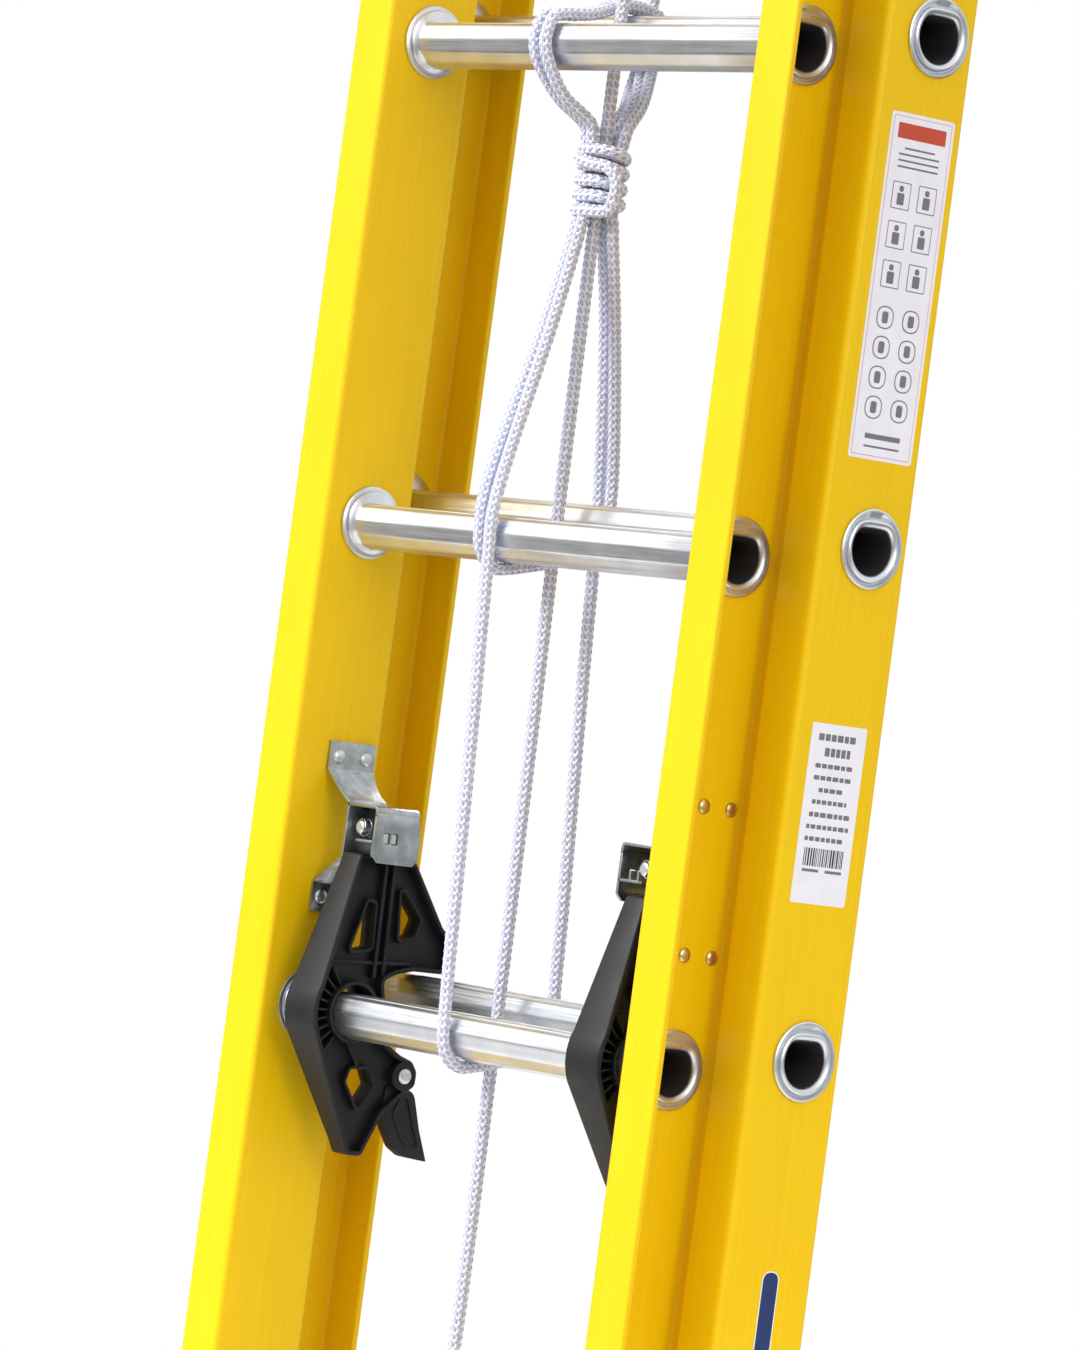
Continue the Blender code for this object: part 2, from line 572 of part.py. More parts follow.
def build_pulley(looks):
    y, z = pulley_centre()
    rung_z = base_rung_z(RUNG_COUNT)
    groove = rope_wheel_radius() - ROPE_RADIUS - 2 * CLEARANCE
    floor = ROPE_RADIUS - 0.8 * MM
    half = WHEEL_WIDTH / 2
    hub = AXLE_RADIUS + RUNNING
    rim = WHEEL_RADIUS
    profile = [(-half, hub), (-half, rim), (-half + 1.5 * MM, rim), (-floor, groove), (floor, groove),
               (half - 1.5 * MM, rim), (half, rim), (half, hub)]
    rings = [
        [(PULLEY_X + along, v, w) for v, w in circle((y, z), radius, 24)] for along, radius in profile
    ]
    loft("pulley_wheel", rings, looks["nylon"], closed=True)

    cheek_in = half + RUNNING
    cheek_out = cheek_in + CHEEK_SHEET
    top = rung_z + NECK_RADIUS + CHEEK_SHEET
    leg = 13 * MM
    wide = 22 * MM
    side_shape = [(BASE_Y - wide, top), (BASE_Y - wide, rung_z - RUNG_RADIUS), (y - leg, z + 4 * MM)]
    side_shape += arc((y, z), leg, 180, 360, 8)
    side_shape += [(y + leg, z + 4 * MM), (BASE_Y + wide, rung_z - RUNG_RADIUS), (BASE_Y + wide, top)]
    hanger = prism("pulley_hanger", side_shape, PULLEY_X - cheek_out, PULLEY_X + cheek_out, looks["zinc"], axis="X")
    hollow = [
        (BASE_Y - 2 * wide, rung_z - 4 * wide), (BASE_Y + 2 * wide, rung_z - 4 * wide),
        (BASE_Y + 2 * wide, top - CHEEK_SHEET), (BASE_Y - 2 * wide, top - CHEEK_SHEET),
    ]
    cuts = [
        cutter("cut_hanger_hollow", prism, hollow, PULLEY_X - cheek_in, PULLEY_X + cheek_in, axis="X"),
        cutter("cut_hanger_rung", prism, circle((BASE_Y, rung_z), (RUNG_RADIUS + CLEARANCE) / math.cos(math.pi / 20), 20),
               PULLEY_X - 2 * cheek_out, PULLEY_X + 2 * cheek_out, axis="X"),
        cutter("cut_hanger_axle", prism, circle((y, z), AXLE_RADIUS + CLEARANCE, 12, math.pi / 12),
               PULLEY_X - 2 * cheek_out, PULLEY_X + 2 * cheek_out, axis="X"),
    ]
    combine(hanger, cuts)
    head = 7.5 * MM
    reach = cheek_out + CLEARANCE
    profile = [(-reach - 2 * MM, head), (-reach, head), (-reach, AXLE_RADIUS),
               (reach, AXLE_RADIUS), (reach, head), (reach + 2 * MM, head)]
    turned_x("pulley_axle", profile, PULLEY_X, y, z, 12, looks["zinc"])


def build_guides(looks):
    """Nylon blocks that keep the fly channels square on the base flanges."""
    flange_tip = BASE_HALF_WIDTH - BASE_FLANGE
    fly_back_inner = FLY_Y + FLY_BACK_DEPTH - RAIL_WALL
    fly_tip = FLY_WEB_INNER + FLY_FLANGE
    front = BASE_FRONT_Y - 26 * MM
    fly_block = [
        (FLY_WEB_OUTER + CLEARANCE, front), (fly_tip - 4 * MM, front), (fly_tip - 4 * MM, BASE_FRONT_Y - RUNNING),
        (flange_tip - RUNNING, BASE_FRONT_Y - RUNNING), (flange_tip - RUNNING, fly_back_inner - RAIL_FILLET),
        (FLY_WEB_OUTER + RAIL_FILLET, fly_back_inner - RAIL_FILLET),
        (FLY_WEB_OUTER + CLEARANCE, fly_back_inner - RAIL_FILLET - CLEARANCE),
    ]
    base_block = [
        (flange_tip, front), (fly_tip - 2 * MM, front), (fly_tip - 2 * MM, BASE_FRONT_Y - CLEARANCE),
        (flange_tip, BASE_FRONT_Y - CLEARANCE),
    ]
    for word, side in SIDES.items():
        prism(f"fly_guide_{word}", mirrored(fly_block, side), FLY_BOTTOM, FLY_BOTTOM + GUIDE_HEIGHT, looks["nylon"])
        prism(f"base_guide_{word}", mirrored(base_block, side), BASE_TOP - GUIDE_HEIGHT, BASE_TOP, looks["nylon"])


def build_caps(looks):
    """Plastic caps over the top ends of the fly rails."""
    web, tip = FLY_WEB_INNER, FLY_WEB_INNER + FLY_FLANGE
    front, back = FLY_Y - FLY_FRONT_DEPTH, FLY_Y + FLY_BACK_DEPTH
    box = [
        (web - CAP_WALL, front - CAP_WALL), (tip + CAP_WALL, front - CAP_WALL),
        (tip + CAP_WALL, back + CAP_WALL), (web - CAP_WALL, back + CAP_WALL),
    ]
    gap = CLEARANCE
    inner = web + RAIL_WALL
    slot = [
        (web - gap, front - gap), (tip + gap, front - gap), (tip + gap, front + RAIL_WALL + gap),
        (inner + RAIL_FILLET, front + RAIL_WALL + RAIL_FILLET + gap), (inner + gap, front + RAIL_WALL + 2 * RAIL_FILLET),
        (inner + gap, back - RAIL_WALL - 2 * RAIL_FILLET), (inner + RAIL_FILLET, back - RAIL_WALL - RAIL_FILLET - gap),
        (tip + gap, back - RAIL_WALL - gap), (tip + gap, back + gap), (web - gap, back + gap),
    ]
    for word, side in SIDES.items():
        cap = prism(f"fly_cap_{word}", mirrored(box, side), FLY_TOP - CAP_DEPTH, FLY_TOP + CAP_TOP, looks["nylon"])
        cut = cutter(f"cut_cap_{word}", prism, mirrored(slot, side), FLY_TOP - 2 * CAP_DEPTH, FLY_TOP + gap)
        combine(cap, [cut])


def smooth_route(points, spacing):
    """Points along a Catmull-Rom curve through the route, closer where a stretch is short."""
    route = [Vector(point) for point in points]
    ends = [2 * route[0] - route[1]] + route + [2 * route[-1] - route[-2]]
    path = [route[0]]
    for a, b, c, d in zip(ends, ends[1:], ends[2:], ends[3:]):
        steps = max(1, min(3, round((c - b).length / spacing)))
        knots = [0.0]
        for first, second in ((a, b), (b, c), (c, d)):
            knots.append(knots[-1] + max((second - first).length, 1e-6) ** 0.5)
        t0, t1, t2, t3 = knots
        for i in range(1, steps + 1):
            t = t1 + (t2 - t1) * i / steps
            ab = (a * (t1 - t) + b * (t - t0)) / (t1 - t0)
            bc = (b * (t2 - t) + c * (t - t1)) / (t2 - t1)
            cd = (c * (t3 - t) + d * (t - t2)) / (t3 - t2)
            low = (ab * (t2 - t) + bc * (t - t0)) / (t2 - t0)
            high = (bc * (t3 - t) + cd * (t - t1)) / (t3 - t1)
            path.append((low * (t2 - t) + high * (t - t1)) / (t2 - t1))
    return path


def rope(name, points, look):
    """A plain round rope through the route's points."""
    path = smooth_route(points, 24 * MM)
    data = bpy.data.curves.new(name, "CURVE")
    data.dimensions = "3D"
    data.bevel_depth = ROPE_RADIUS
    data.bevel_resolution = ROPE_SIDES
    data.use_fill_caps = True
    spline = data.splines.new("POLY")
    spline.points.add(len(path) - 1)
    for slot, point in zip(spline.points, path):
        slot.co = (*point, 1.0)
    data.materials.append(look)
    obj = bpy.data.objects.new(name, data)
    bpy.context.collection.objects.link(obj)


def round_rung(y, z, radius, first, last, steps, x_first, x_last):
    """Route points round a rung in the plane across it, drifting along X."""
    turned = arc((y, z), radius, first, last, steps)
    return [(x_first + (x_last - x_first) * i / steps, v, w) for i, (v, w) in enumerate(turned)]


def rope_hug(number):
    """Distance from a rung's axis to the middle of a rope that bends round it."""
    return RUNG_RADIUS + ROPE_RADIUS + number * MM


def over_rungs(number, front_x, back_x):
    """Route points up the front of a fly rung, over both treads and down behind the base rung."""
    hug = rope_hug(0.6)
    high = RUNG_FLAT + ROPE_RADIUS + 1.5 * MM
    half = [
        (0.83 * hug, -0.6 * hug), (1.01 * hug, -0.15 * hug), (0.96 * hug, 0.36 * hug),
        (0.77 * hug, 0.71 * hug), (8 * MM, high),
    ]
    front = [(front_x, FLY_Y - away, fly_rung_z(number) + up) for away, up in half]
    behind = [(back_x, BASE_Y + away, base_rung_z(number) + up) for away, up in reversed(half)]
    middle = [
        (front_x - 1 * MM, FLY_Y + 12 * MM, fly_rung_z(number) + high + 3 * MM),
        (back_x + 3 * MM, BASE_Y - 12 * MM, base_rung_z(number) + high),
    ]
    return front + middle + behind


def under_rungs(number, front_x, gap_x, back_x):
    """Route points down the front of a fly rung, under both rungs and up behind the base rung."""
    hug = rope_hug(1)
    front = round_rung(FLY_Y, fly_rung_z(number), hug, 180, 260, 4, front_x, gap_x)
    behind = round_rung(BASE_Y, base_rung_z(number), hug, 285, 360, 4, gap_x - 3 * MM, back_x)
    return front + behind


class Knot:
    """Where the lashing's strands enter the knot, from its middle on the hoist line."""

    def __init__(self):
        axle_y, self.axle_z = pulley_centre()
        self.axle_y = axle_y
        self.wheel = rope_wheel_radius()
        self.hoist_y = axle_y - self.wheel
        self.fall_y = axle_y + self.wheel
        self.x = -29.5 * MM
        self.y = self.hoist_y + 1 * MM
        self.z = LOCK_Z + KNOT_UP
        self.top = self.z + KNOT_HEIGHT / 2 + CLEARANCE
        self.low = self.z - KNOT_HEIGHT / 2 - CLEARANCE

    def at(self, across, back, up=0.0):
        """A point beside the knot's top or, with a negative height, its underside, in millimetres."""
        level = self.top if up >= 0 else self.low
        return (self.x + across * MM, self.y + back * MM, level + up * MM)

    def above(self, across, back):
        """The last two points of a strand that enters the top, from the top down."""
        return [self.at(across, back, 8), (self.x + across * MM, self.y + back * MM, self.top)]

    def below(self, across, back):
        """The last two points of a strand that enters the underside, from below up."""
        return [self.at(across, back, -8), (self.x + across * MM, self.y + back * MM, self.low)]


def build_hoist(knot, look):
    """The hoist line: hitched on the first fly rung, up through the knot, over the pulley and back."""
    first_z = fly_rung_z(1)
    foot_x = -22 * MM
    hug = rope_hug(1.2)
    hitch = round_rung(FLY_Y, first_z, hug, 300, 30, 14, foot_x - 20 * MM, foot_x - 9.6 * MM)
    hitch += round_rung(FLY_Y, first_z, hug, 8, -290, 15, foot_x - 8.8 * MM, foot_x)
    rope(
        "rope_hoist_lower",
        hitch
        + [(foot_x, knot.hoist_y - 5 * MM, first_z + 26 * MM), (foot_x, knot.hoist_y, LOCK_Z - 200 * MM),
           (foot_x - 1 * MM, knot.hoist_y, LOCK_Z + 60 * MM), knot.at(1.5, -1, -150)]
        + knot.below(0, -1),
        look,
    )
    over = [(PULLEY_X, v, w) for v, w in arc((knot.axle_y, knot.axle_z), knot.wheel, 180, 0, 12)]
    up = list(reversed(knot.above(0, -1))) + [
        knot.at(-1, -1, 100), (PULLEY_X + 2 * MM, knot.hoist_y, knot.axle_z - 320 * MM),
        (PULLEY_X, knot.hoist_y, knot.axle_z - 30 * MM),
    ]
    down = [
        (PULLEY_X, knot.fall_y, knot.axle_z - 30 * MM), (PULLEY_X - 9 * MM, knot.fall_y, knot.axle_z - 420 * MM),
        (PULLEY_X - 25 * MM, knot.fall_y, knot.top + 110 * MM), (PULLEY_X - 30 * MM, knot.fall_y, knot.top + 62 * MM),
        (PULLEY_X - 32 * MM, knot.fall_y - 4 * MM, knot.top + 38 * MM), knot.at(-21, 26, 20),
    ]
    rope("rope_hoist_upper", up + over + down + knot.above(-12.5, 3), look)


def build_loops(knot, look):
    """The lashing: loops round the rungs of both sections under and over the knot."""
    front_y = FLY_Y - rope_hug(1)
    back_y = BASE_Y + rope_hug(1)
    third, fourth = LOCK_RUNG + 1, LOCK_RUNG + 2
    third_z, lock_z = fly_rung_z(third), fly_rung_z(LOCK_RUNG)
    rope(
        "rope_long_loop",
        list(reversed(knot.below(-1.5, -11)))
        + [knot.at(-1, -22, -60), (-27 * MM, front_y, third_z + 14 * MM), (-26 * MM, front_y, third_z - 14 * MM),
           (-20 * MM, front_y, lock_z + 190 * MM), (-12 * MM, front_y, lock_z + 40 * MM)]
        + under_rungs(LOCK_RUNG, -9 * MM, -10.5 * MM, -31 * MM)
        + [(-36 * MM, back_y, lock_z + 90 * MM), (-43 * MM, back_y, lock_z + 190 * MM),
           (-50 * MM, back_y, third_z), (-53 * MM, back_y, third_z + 36 * MM), knot.at(-7, 24, -60)]
        + knot.below(-2.5, 10),
        look,
    )
    rope(
        "rope_short_loop",
        list(reversed(knot.below(-10.5, -7)))
        + [knot.at(-9, -20, -60), (-37 * MM, front_y, third_z + 24 * MM)]
        + under_rungs(third, -37 * MM, -38 * MM, -41 * MM)
        + [(-42 * MM, back_y, third_z + 44 * MM), knot.at(3, 23, -60)]
        + knot.below(8, 8),
        look,
    )
    strands = {1: ((-10.5, -9), -46 * MM, (-2.5, 11), -60 * MM), 2: ((-1.5, -12), -36 * MM, (8, 8), -50 * MM)}
    for number, (front, front_x, back, back_x) in strands.items():
        rope(
            f"rope_top_loop_{number}",
            list(reversed(knot.above(*front)))
            + [knot.at(front[0] - 5, front[1] - 21, 23)]
            + over_rungs(fourth, front_x, back_x)
            + [knot.at(back[0] - 8, back[1] + 16, 26)]
            + knot.above(*back),
            look,
        )


def build_rope(looks):
    """One rope, hitched on the fly, led over the pulley and lashed round both sections."""
    knot = Knot()
    build_hoist(knot, looks["rope"])
    build_loops(knot, looks["rope"])
    rings = []
    for share, swell in [(0.0, 0.86), (0.12, 1.0), (0.88, 1.0), (1.0, 0.86)]:
        height = knot.z + KNOT_HEIGHT * (share - 0.5)
        rings.append([
            (knot.x + swell * KNOT_HALF_WIDTH * u, knot.y + swell * KNOT_HALF_DEPTH * v, height)
            for u, v in circle((0, 0), 1.0, 14)
        ])
    loft("rope_knot", rings, looks["rope"])


def main():
    clear_scene()
    looks = make_materials()
    build_fly(looks)
    build_base(looks)
    build_locks(looks)
    build_brackets(looks)
    build_shoes(looks)
    build_pulley(looks)
    build_guides(looks)
    build_caps(looks)
    build_rope(looks)


main()
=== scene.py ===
"""Looks of a two-section fibreglass extension ladder, closed and lashed for storage.

Metres, +Z up along the rails, +X across the ladder, +Y from the climbing side to the back.
Sizes in the classes are millimetres where a name ends in _mm. Places come from the frame's boxes.
"""

import logging
import math
from dataclasses import dataclass, field
from enum import Enum
from typing import Iterable, Sequence

import bmesh
import bpy
from mathutils import Matrix, Vector


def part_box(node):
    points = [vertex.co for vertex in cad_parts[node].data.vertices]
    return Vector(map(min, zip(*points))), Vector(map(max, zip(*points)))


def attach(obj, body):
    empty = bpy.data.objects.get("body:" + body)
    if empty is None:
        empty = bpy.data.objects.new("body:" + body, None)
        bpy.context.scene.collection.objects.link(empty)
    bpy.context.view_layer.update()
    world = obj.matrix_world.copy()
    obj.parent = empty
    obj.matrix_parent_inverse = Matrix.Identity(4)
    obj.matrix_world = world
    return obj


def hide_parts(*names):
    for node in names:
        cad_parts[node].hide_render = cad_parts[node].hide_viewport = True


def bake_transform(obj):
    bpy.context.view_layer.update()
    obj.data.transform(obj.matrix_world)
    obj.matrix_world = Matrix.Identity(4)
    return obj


LOG = logging.getLogger("ladder")
MM = 0.001
SIDES = {"left": -1, "right": 1}
Point2 = tuple[float, float]
Point3 = tuple[float, float, float]


# ---------------------------------------------------------------- colour and node trees


def linear(code: str) -> tuple[float, float, float, float]:
    """Turn an sRGB hex value to linear colour.

    Args:
        code: six hex digits, with or without a leading hash.

    Returns:
        Linear red, green, blue and a full alpha.
    """
    digits = code.lstrip("#")
    shares = [int(digits[i : i + 2], 16) / 255 for i in (0, 2, 4)]
    return (*[s / 12.92 if s <= 0.04045 else ((s + 0.055) / 1.055) ** 2.4 for s in shares], 1.0)


def add_node(
    tree: bpy.types.NodeTree, kind: str, links: dict | None = None, values: dict | None = None, **settings
) -> bpy.types.Node:
    """Add a node with its settings, values and links.

    Args:
        tree: the tree it goes in.
        kind: Blender's name of the node.
        links: input name or index to the output socket that feeds it.
        values: input name or index to a fixed value.
        settings: attributes of the node.

    Returns:
        The new node.
    """
    made = tree.nodes.new(kind)
    for name, value in settings.items():
        setattr(made, name, value)
    for name, value in (values or {}).items():
        made.inputs[name].default_value = value
    for name, socket in (links or {}).items():
        tree.links.new(socket, made.inputs[name])
    return made


class Surface:
    """A Principled material under construction, with Object coordinates ready."""

    def __init__(self, name: str, **sockets: float | tuple) -> None:
        """Make the material and set the shader's own sockets.

        Args:
            name: the material's common name and how it was made.
            sockets: shader inputs, with underscores for the blanks.
        """
        self.material = bpy.data.materials.new(name)
        self.material.use_nodes = True
        self.tree = self.material.node_tree
        self.shader = self.tree.nodes["Principled BSDF"]
        for socket, value in sockets.items():
            self.shader.inputs[socket.replace("_", " ")].default_value = value
        self.place = add_node(self.tree, "ShaderNodeTexCoord").outputs["Object"]

    def stretched(self, scale: Point3) -> bpy.types.NodeSocket:
        """Give Object coordinates scaled by axis."""
        return add_node(self.tree, "ShaderNodeMapping", {"Vector": self.place}, {"Scale": scale}).outputs["Vector"]

    def noise(
        self, vector: bpy.types.NodeSocket, scale: float, detail: float = 2.0, roughness: float = 0.5
    ) -> bpy.types.NodeSocket:
        """Give a noise value between 0 and 1."""
        values = {"Scale": scale, "Detail": detail, "Roughness": roughness}
        return add_node(self.tree, "ShaderNodeTexNoise", {"Vector": vector}, values).outputs["Fac"]

    def spread(
        self, value: bpy.types.NodeSocket, low: float, high: float, start: float = 0.3, end: float = 0.7
    ) -> bpy.types.NodeSocket:
        """Map a value from start..end to low..high."""
        values = {"From Min": start, "From Max": end, "To Min": low, "To Max": high}
        return add_node(self.tree, "ShaderNodeMapRange", {"Value": value}, values).outputs["Result"]

    def mixed(
        self, share: bpy.types.NodeSocket, first: tuple | bpy.types.NodeSocket, second: tuple | bpy.types.NodeSocket
    ) -> bpy.types.NodeSocket:
        """Mix two colours by a share."""
        mix = add_node(self.tree, "ShaderNodeMix", {0: share}, data_type="RGBA")
        for slot, colour in ((6, first), (7, second)):
            if isinstance(colour, bpy.types.NodeSocket):
                self.tree.links.new(colour, mix.inputs[slot])
            else:
                mix.inputs[slot].default_value = colour
        return mix.outputs[2]

    def feed(self, socket: str, source: bpy.types.NodeSocket) -> None:
        """Link a value or colour to the shader."""
        self.tree.links.new(source, self.shader.inputs[socket])

    def relief(self, height: bpy.types.NodeSocket, strength: float, depth_mm: float) -> None:
        """Give the surface a bump from a height.

        Args:
            height: the height, 0 to 1.
            strength: how much of it shows.
            depth_mm: the real depth of the relief.
        """
        bump = add_node(
            self.tree, "ShaderNodeBump", {"Height": height}, {"Strength": strength, "Distance": depth_mm * MM}
        )
        self.feed("Normal", bump.outputs["Normal"])


# ---------------------------------------------------------------- finishes


@dataclass(frozen=True)
class PultrudedFibreglass:
    """Yellow polyester and glass, pulled through a die.

    The pigment goes right through it, with long faint streaks from the rovings and a fine veil
    print, which break up a soft sheen.
    """

    body: str = "#EFC300"
    streak: str = "#DDAB00"
    bright: str = "#F8D508"
    streak_mm: float = 2.4
    veil_mm: float = 1.1

    def make(self) -> bpy.types.Material:
        """Build the material."""
        s = Surface("pultruded polyester fibreglass, yellow", Roughness=0.4, IOR=1.52, Specular_IOR_Level=0.26)
        long = s.stretched((1.0, 1.0, 0.02))
        rovings = s.noise(long, 1 / (self.streak_mm * MM), 3.0, 0.6)
        cloud = s.noise(s.place, 9.0, 4.0)
        colour = s.mixed(s.spread(rovings, 0.0, 0.32), linear(self.body), linear(self.streak))
        s.feed("Base Color", s.mixed(s.spread(cloud, 0.0, 0.22), colour, linear(self.bright)))
        veil = s.noise(s.stretched((1.0, 1.0, 0.45)), 1 / (self.veil_mm * MM), 2.0)
        s.feed("Roughness", s.spread(veil, 0.33, 0.47))
        both = add_node(s.tree, "ShaderNodeMath", {0: rovings, 1: veil}, operation="ADD").outputs[0]
        s.relief(both, 0.35, 0.05)
        return s.material


@dataclass(frozen=True)
class DrawnAluminium:
    """6063 aluminium tube, drawn through a die and left in mill finish.

    Fine lines along its length smear the highlights across it. Swaged ends are a little duller.
    """

    light: str = "#E4E7EC"
    dark: str = "#BCC2CB"
    line_mm: float = 0.7
    along: Point3 = (0.012, 1.0, 1.0)

    def make(self, name: str = "drawn aluminium, mill finish") -> bpy.types.Material:
        """Build the material under a name."""
        s = Surface(name, Metallic=1.0, Roughness=0.36)
        lines = s.noise(s.stretched(self.along), 1 / (self.line_mm * MM), 2.0, 0.6)
        smears = s.noise(s.place, 38.0, 3.0)
        s.feed("Base Color", s.mixed(s.spread(smears, 0.0, 0.5), linear(self.light), linear(self.dark)))
        s.feed("Roughness", s.spread(lines, 0.27, 0.43))
        s.relief(lines, 0.22, 0.02)
        return s.material


@dataclass(frozen=True)
class PaintedShadeBore:
    """The inside of the same tube, painted dark as painted shade, so it reads as a dark hole."""

    grey: str = "#2E2A28"

    def make(self) -> bpy.types.Material:
        """Build the material."""
        s = Surface("oxide-dulled aluminium bore", Metallic=0.0, Roughness=0.85)
        # Painted shade: two dark greys mottled by noise stand in for the shade inside the tube.
        shade_mottle = s.noise(s.stretched((0.1, 1.0, 1.0)), 160.0)
        s.feed("Base Color", s.mixed(s.spread(shade_mottle, 0.0, 1.0), linear(self.grey), linear("#1C1A1A")))
        return s.material


@dataclass(frozen=True)
class MouldedNylon:
    """Glass-filled nylon 6, injection moulded, near black with a fine spark-eroded grain.

    Glass fibres near the skin leave it satin and slightly cloudy.
    """

    body: str = "#101114"
    cloud: str = "#1A1B1F"
    grain_mm: float = 0.5

    def make(self, name: str = "moulded glass-filled nylon, black") -> bpy.types.Material:
        """Build the material under a name."""
        s = Surface(name, Roughness=0.5, IOR=1.53, Specular_IOR_Level=0.32)
        clouds = s.noise(s.place, 60.0, 4.0)
        grain = s.noise(s.place, 1 / (self.grain_mm * MM), 2.0)
        s.feed("Base Color", s.mixed(s.spread(clouds, 0.0, 0.8), linear(self.body), linear(self.cloud)))
        s.feed("Roughness", s.spread(clouds, 0.42, 0.58))
        s.relief(grain, 0.35, 0.05)
        return s.material


@dataclass(frozen=True)
class ZincPlate:
    """Pressed mild steel, zinc plated and clear passivated.

    The plating follows the sheet's rolled grain and has faint blue and straw clouds.
    """

    light: str = "#C3CACC"
    tint: str = "#8F979B"
    rough_low: float = 0.2
    rough_high: float = 0.42

    def make(self, name: str = "zinc-plated pressed steel") -> bpy.types.Material:
        """Build the material under a name."""
        s = Surface(name, Metallic=1.0, Roughness=0.3)
        clouds = s.noise(s.place, 90.0, 4.0, 0.6)
        grain = s.noise(s.stretched((1.0, 1.0, 0.2)), 1200.0, 2.0)
        s.feed("Base Color", s.mixed(s.spread(clouds, 0.0, 0.9), linear(self.light), linear(self.tint)))
        s.feed("Roughness", s.spread(clouds, self.rough_low, self.rough_high))
        s.relief(grain, 0.25, 0.03)
        return s.material


@dataclass(frozen=True)
class BraidedPolyester:
    """Polyester multifilament, braided and heat set: soft white yarn crossed by a blue-grey one.

    Each yarn is a bundle of threads, too fine to show, so its lines are drawn at half a millimetre.
    """

    yarn: str = "#F1F2FA"
    shade: str = "#D9DCEC"
    tracer: str = "#8B90B8"
    thread_mm: float = 0.5

    def make(self) -> bpy.types.Material:
        """Build the material. It reads the yarn's own shade from the mesh."""
        s = Surface("braided polyester rope, white", Roughness=0.72, IOR=1.57, Sheen_Weight=0.25, Sheen_Roughness=0.5)
        own = add_node(s.tree, "ShaderNodeAttribute", attribute_name="tracer").outputs["Fac"]
        base = s.mixed(s.noise(s.place, 240.0, 2.0), linear(self.yarn), linear(self.shade))
        s.feed("Base Color", s.mixed(own, base, linear(self.tracer)))
        threads = s.noise(s.place, 1 / (self.thread_mm * MM), 2.0)
        s.relief(threads, 0.4, 0.08)
        return s.material


@dataclass(frozen=True)
class MouldedRubber:
    """Styrene rubber, compression moulded, black with a dusty bloom on its ribs."""

    body: str = "#1B1B1C"
    bloom: str = "#37363A"

    def make(self) -> bpy.types.Material:
        """Build the material."""
        s = Surface("moulded rubber, black", Roughness=0.85, IOR=1.52)
        dust = s.noise(s.place, 150.0, 5.0)
        s.feed("Base Color", s.mixed(s.spread(dust, 0.0, 0.7), linear(self.body), linear(self.bloom)))
        s.relief(dust, 0.5, 0.1)
        return s.material


@dataclass(frozen=True)
class PrintedVinyl:
    """Self-adhesive vinyl with a flat ink, under a clear gloss film."""

    ink: str
    rough: float = 0.32

    def make(self, name: str) -> bpy.types.Material:
        """Build the material under a name, with the slight mottle of a rolled-on film."""
        s = Surface(name, Roughness=self.rough, IOR=1.5)
        film = s.noise(s.place, 70.0, 3.0)
        pale = tuple(0.9 * c for c in linear(self.ink)[:3]) + (1.0,)
        s.feed("Base Color", s.mixed(s.spread(film, 0.0, 0.6), linear(self.ink), pale))
        s.relief(film, 0.15, 0.05)
        return s.material


class Finishes:
    """Every material of the ladder, made once."""

    def __init__(self) -> None:
        """Make the materials."""
        self.fibreglass = PultrudedFibreglass().make()
        self.aluminium = DrawnAluminium().make()
        # Painted shade: the rungs' bore material is dark to stand in for the shade inside the tube.
        self.bore = PaintedShadeBore().make()
        self.lock_nylon = MouldedNylon().make()
        self.cap_nylon = MouldedNylon("#26282B", "#33363A", 0.7).make("moulded polypropylene, black")
        self.wheel_nylon = MouldedNylon("#1F2022", "#2C2D30", 0.4).make("moulded acetal, black")
        self.zinc = ZincPlate().make()
        self.bright = ZincPlate("#E9ECEE", "#C9CDD0", 0.3, 0.45).make("zinc-plated steel, bright")
        self.rivet = ZincPlate("#E8D7A6", "#C4A35C", 0.24, 0.4).make("yellow passivated steel rivet")
        self.spring = ZincPlate("#9A9DA0", "#6C6F73", 0.25, 0.4).make("drawn spring steel wire")
        self.cast = DrawnAluminium("#C4C7C9", "#8D9094", 1.3, (1.0, 1.0, 1.0)).make("die-cast aluminium, tumbled")
        self.rope = BraidedPolyester().make()
        self.rubber = MouldedRubber().make()
        self.label_white = PrintedVinyl("#F1EEF4").make("vinyl label, white")
        self.label_red = PrintedVinyl("#C8492E").make("vinyl label, red ink")
        self.label_grey = PrintedVinyl("#77747E").make("vinyl label, grey ink")
        self.label_black = PrintedVinyl("#2A2A2E").make("vinyl label, black ink")
        self.label_blue = PrintedVinyl("#1F3566", 0.25).make("vinyl label, blue ink")
        self.label_edge = PrintedVinyl("#D8A9A0").make("vinyl label, pale red ink")


# ---------------------------------------------------------------- drawing shapes


def rounded(corners: Sequence[Point2], radii: Sequence[float] | float, steps: int = 4) -> list[Point2]:
    """Round the corners of a flat outline.

    Args:
        corners: the outline's corners in order.
        radii: one radius for all, or one for each corner; 0 keeps it sharp.
        steps: straight pieces in each rounding.

    Returns:
        The points of the rounded outline.
    """
    count = len(corners)
    sizes = [radii] * count if isinstance(radii, (int, float)) else list(radii)
    path: list[Point2] = []
    for i, (corner, size) in enumerate(zip(corners, sizes)):
        here = Vector(corner)
        back, ahead = Vector(corners[i - 1]) - here, Vector(corners[(i + 1) % count]) - here
        turn = back.angle(ahead)
        reach = min(size / max(math.tan(turn / 2), 1e-3), 0.49 * back.length, 0.49 * ahead.length)
        if size <= 0 or reach < 1e-5:
            path.append(tuple(here))
            continue
        start, end = here + back.normalized() * reach, here + ahead.normalized() * reach
        for k in range(steps + 1):
            t = k / steps
            path.append(tuple(start * (1 - t) ** 2 + here * 2 * t * (1 - t) + end * t**2))
    return path


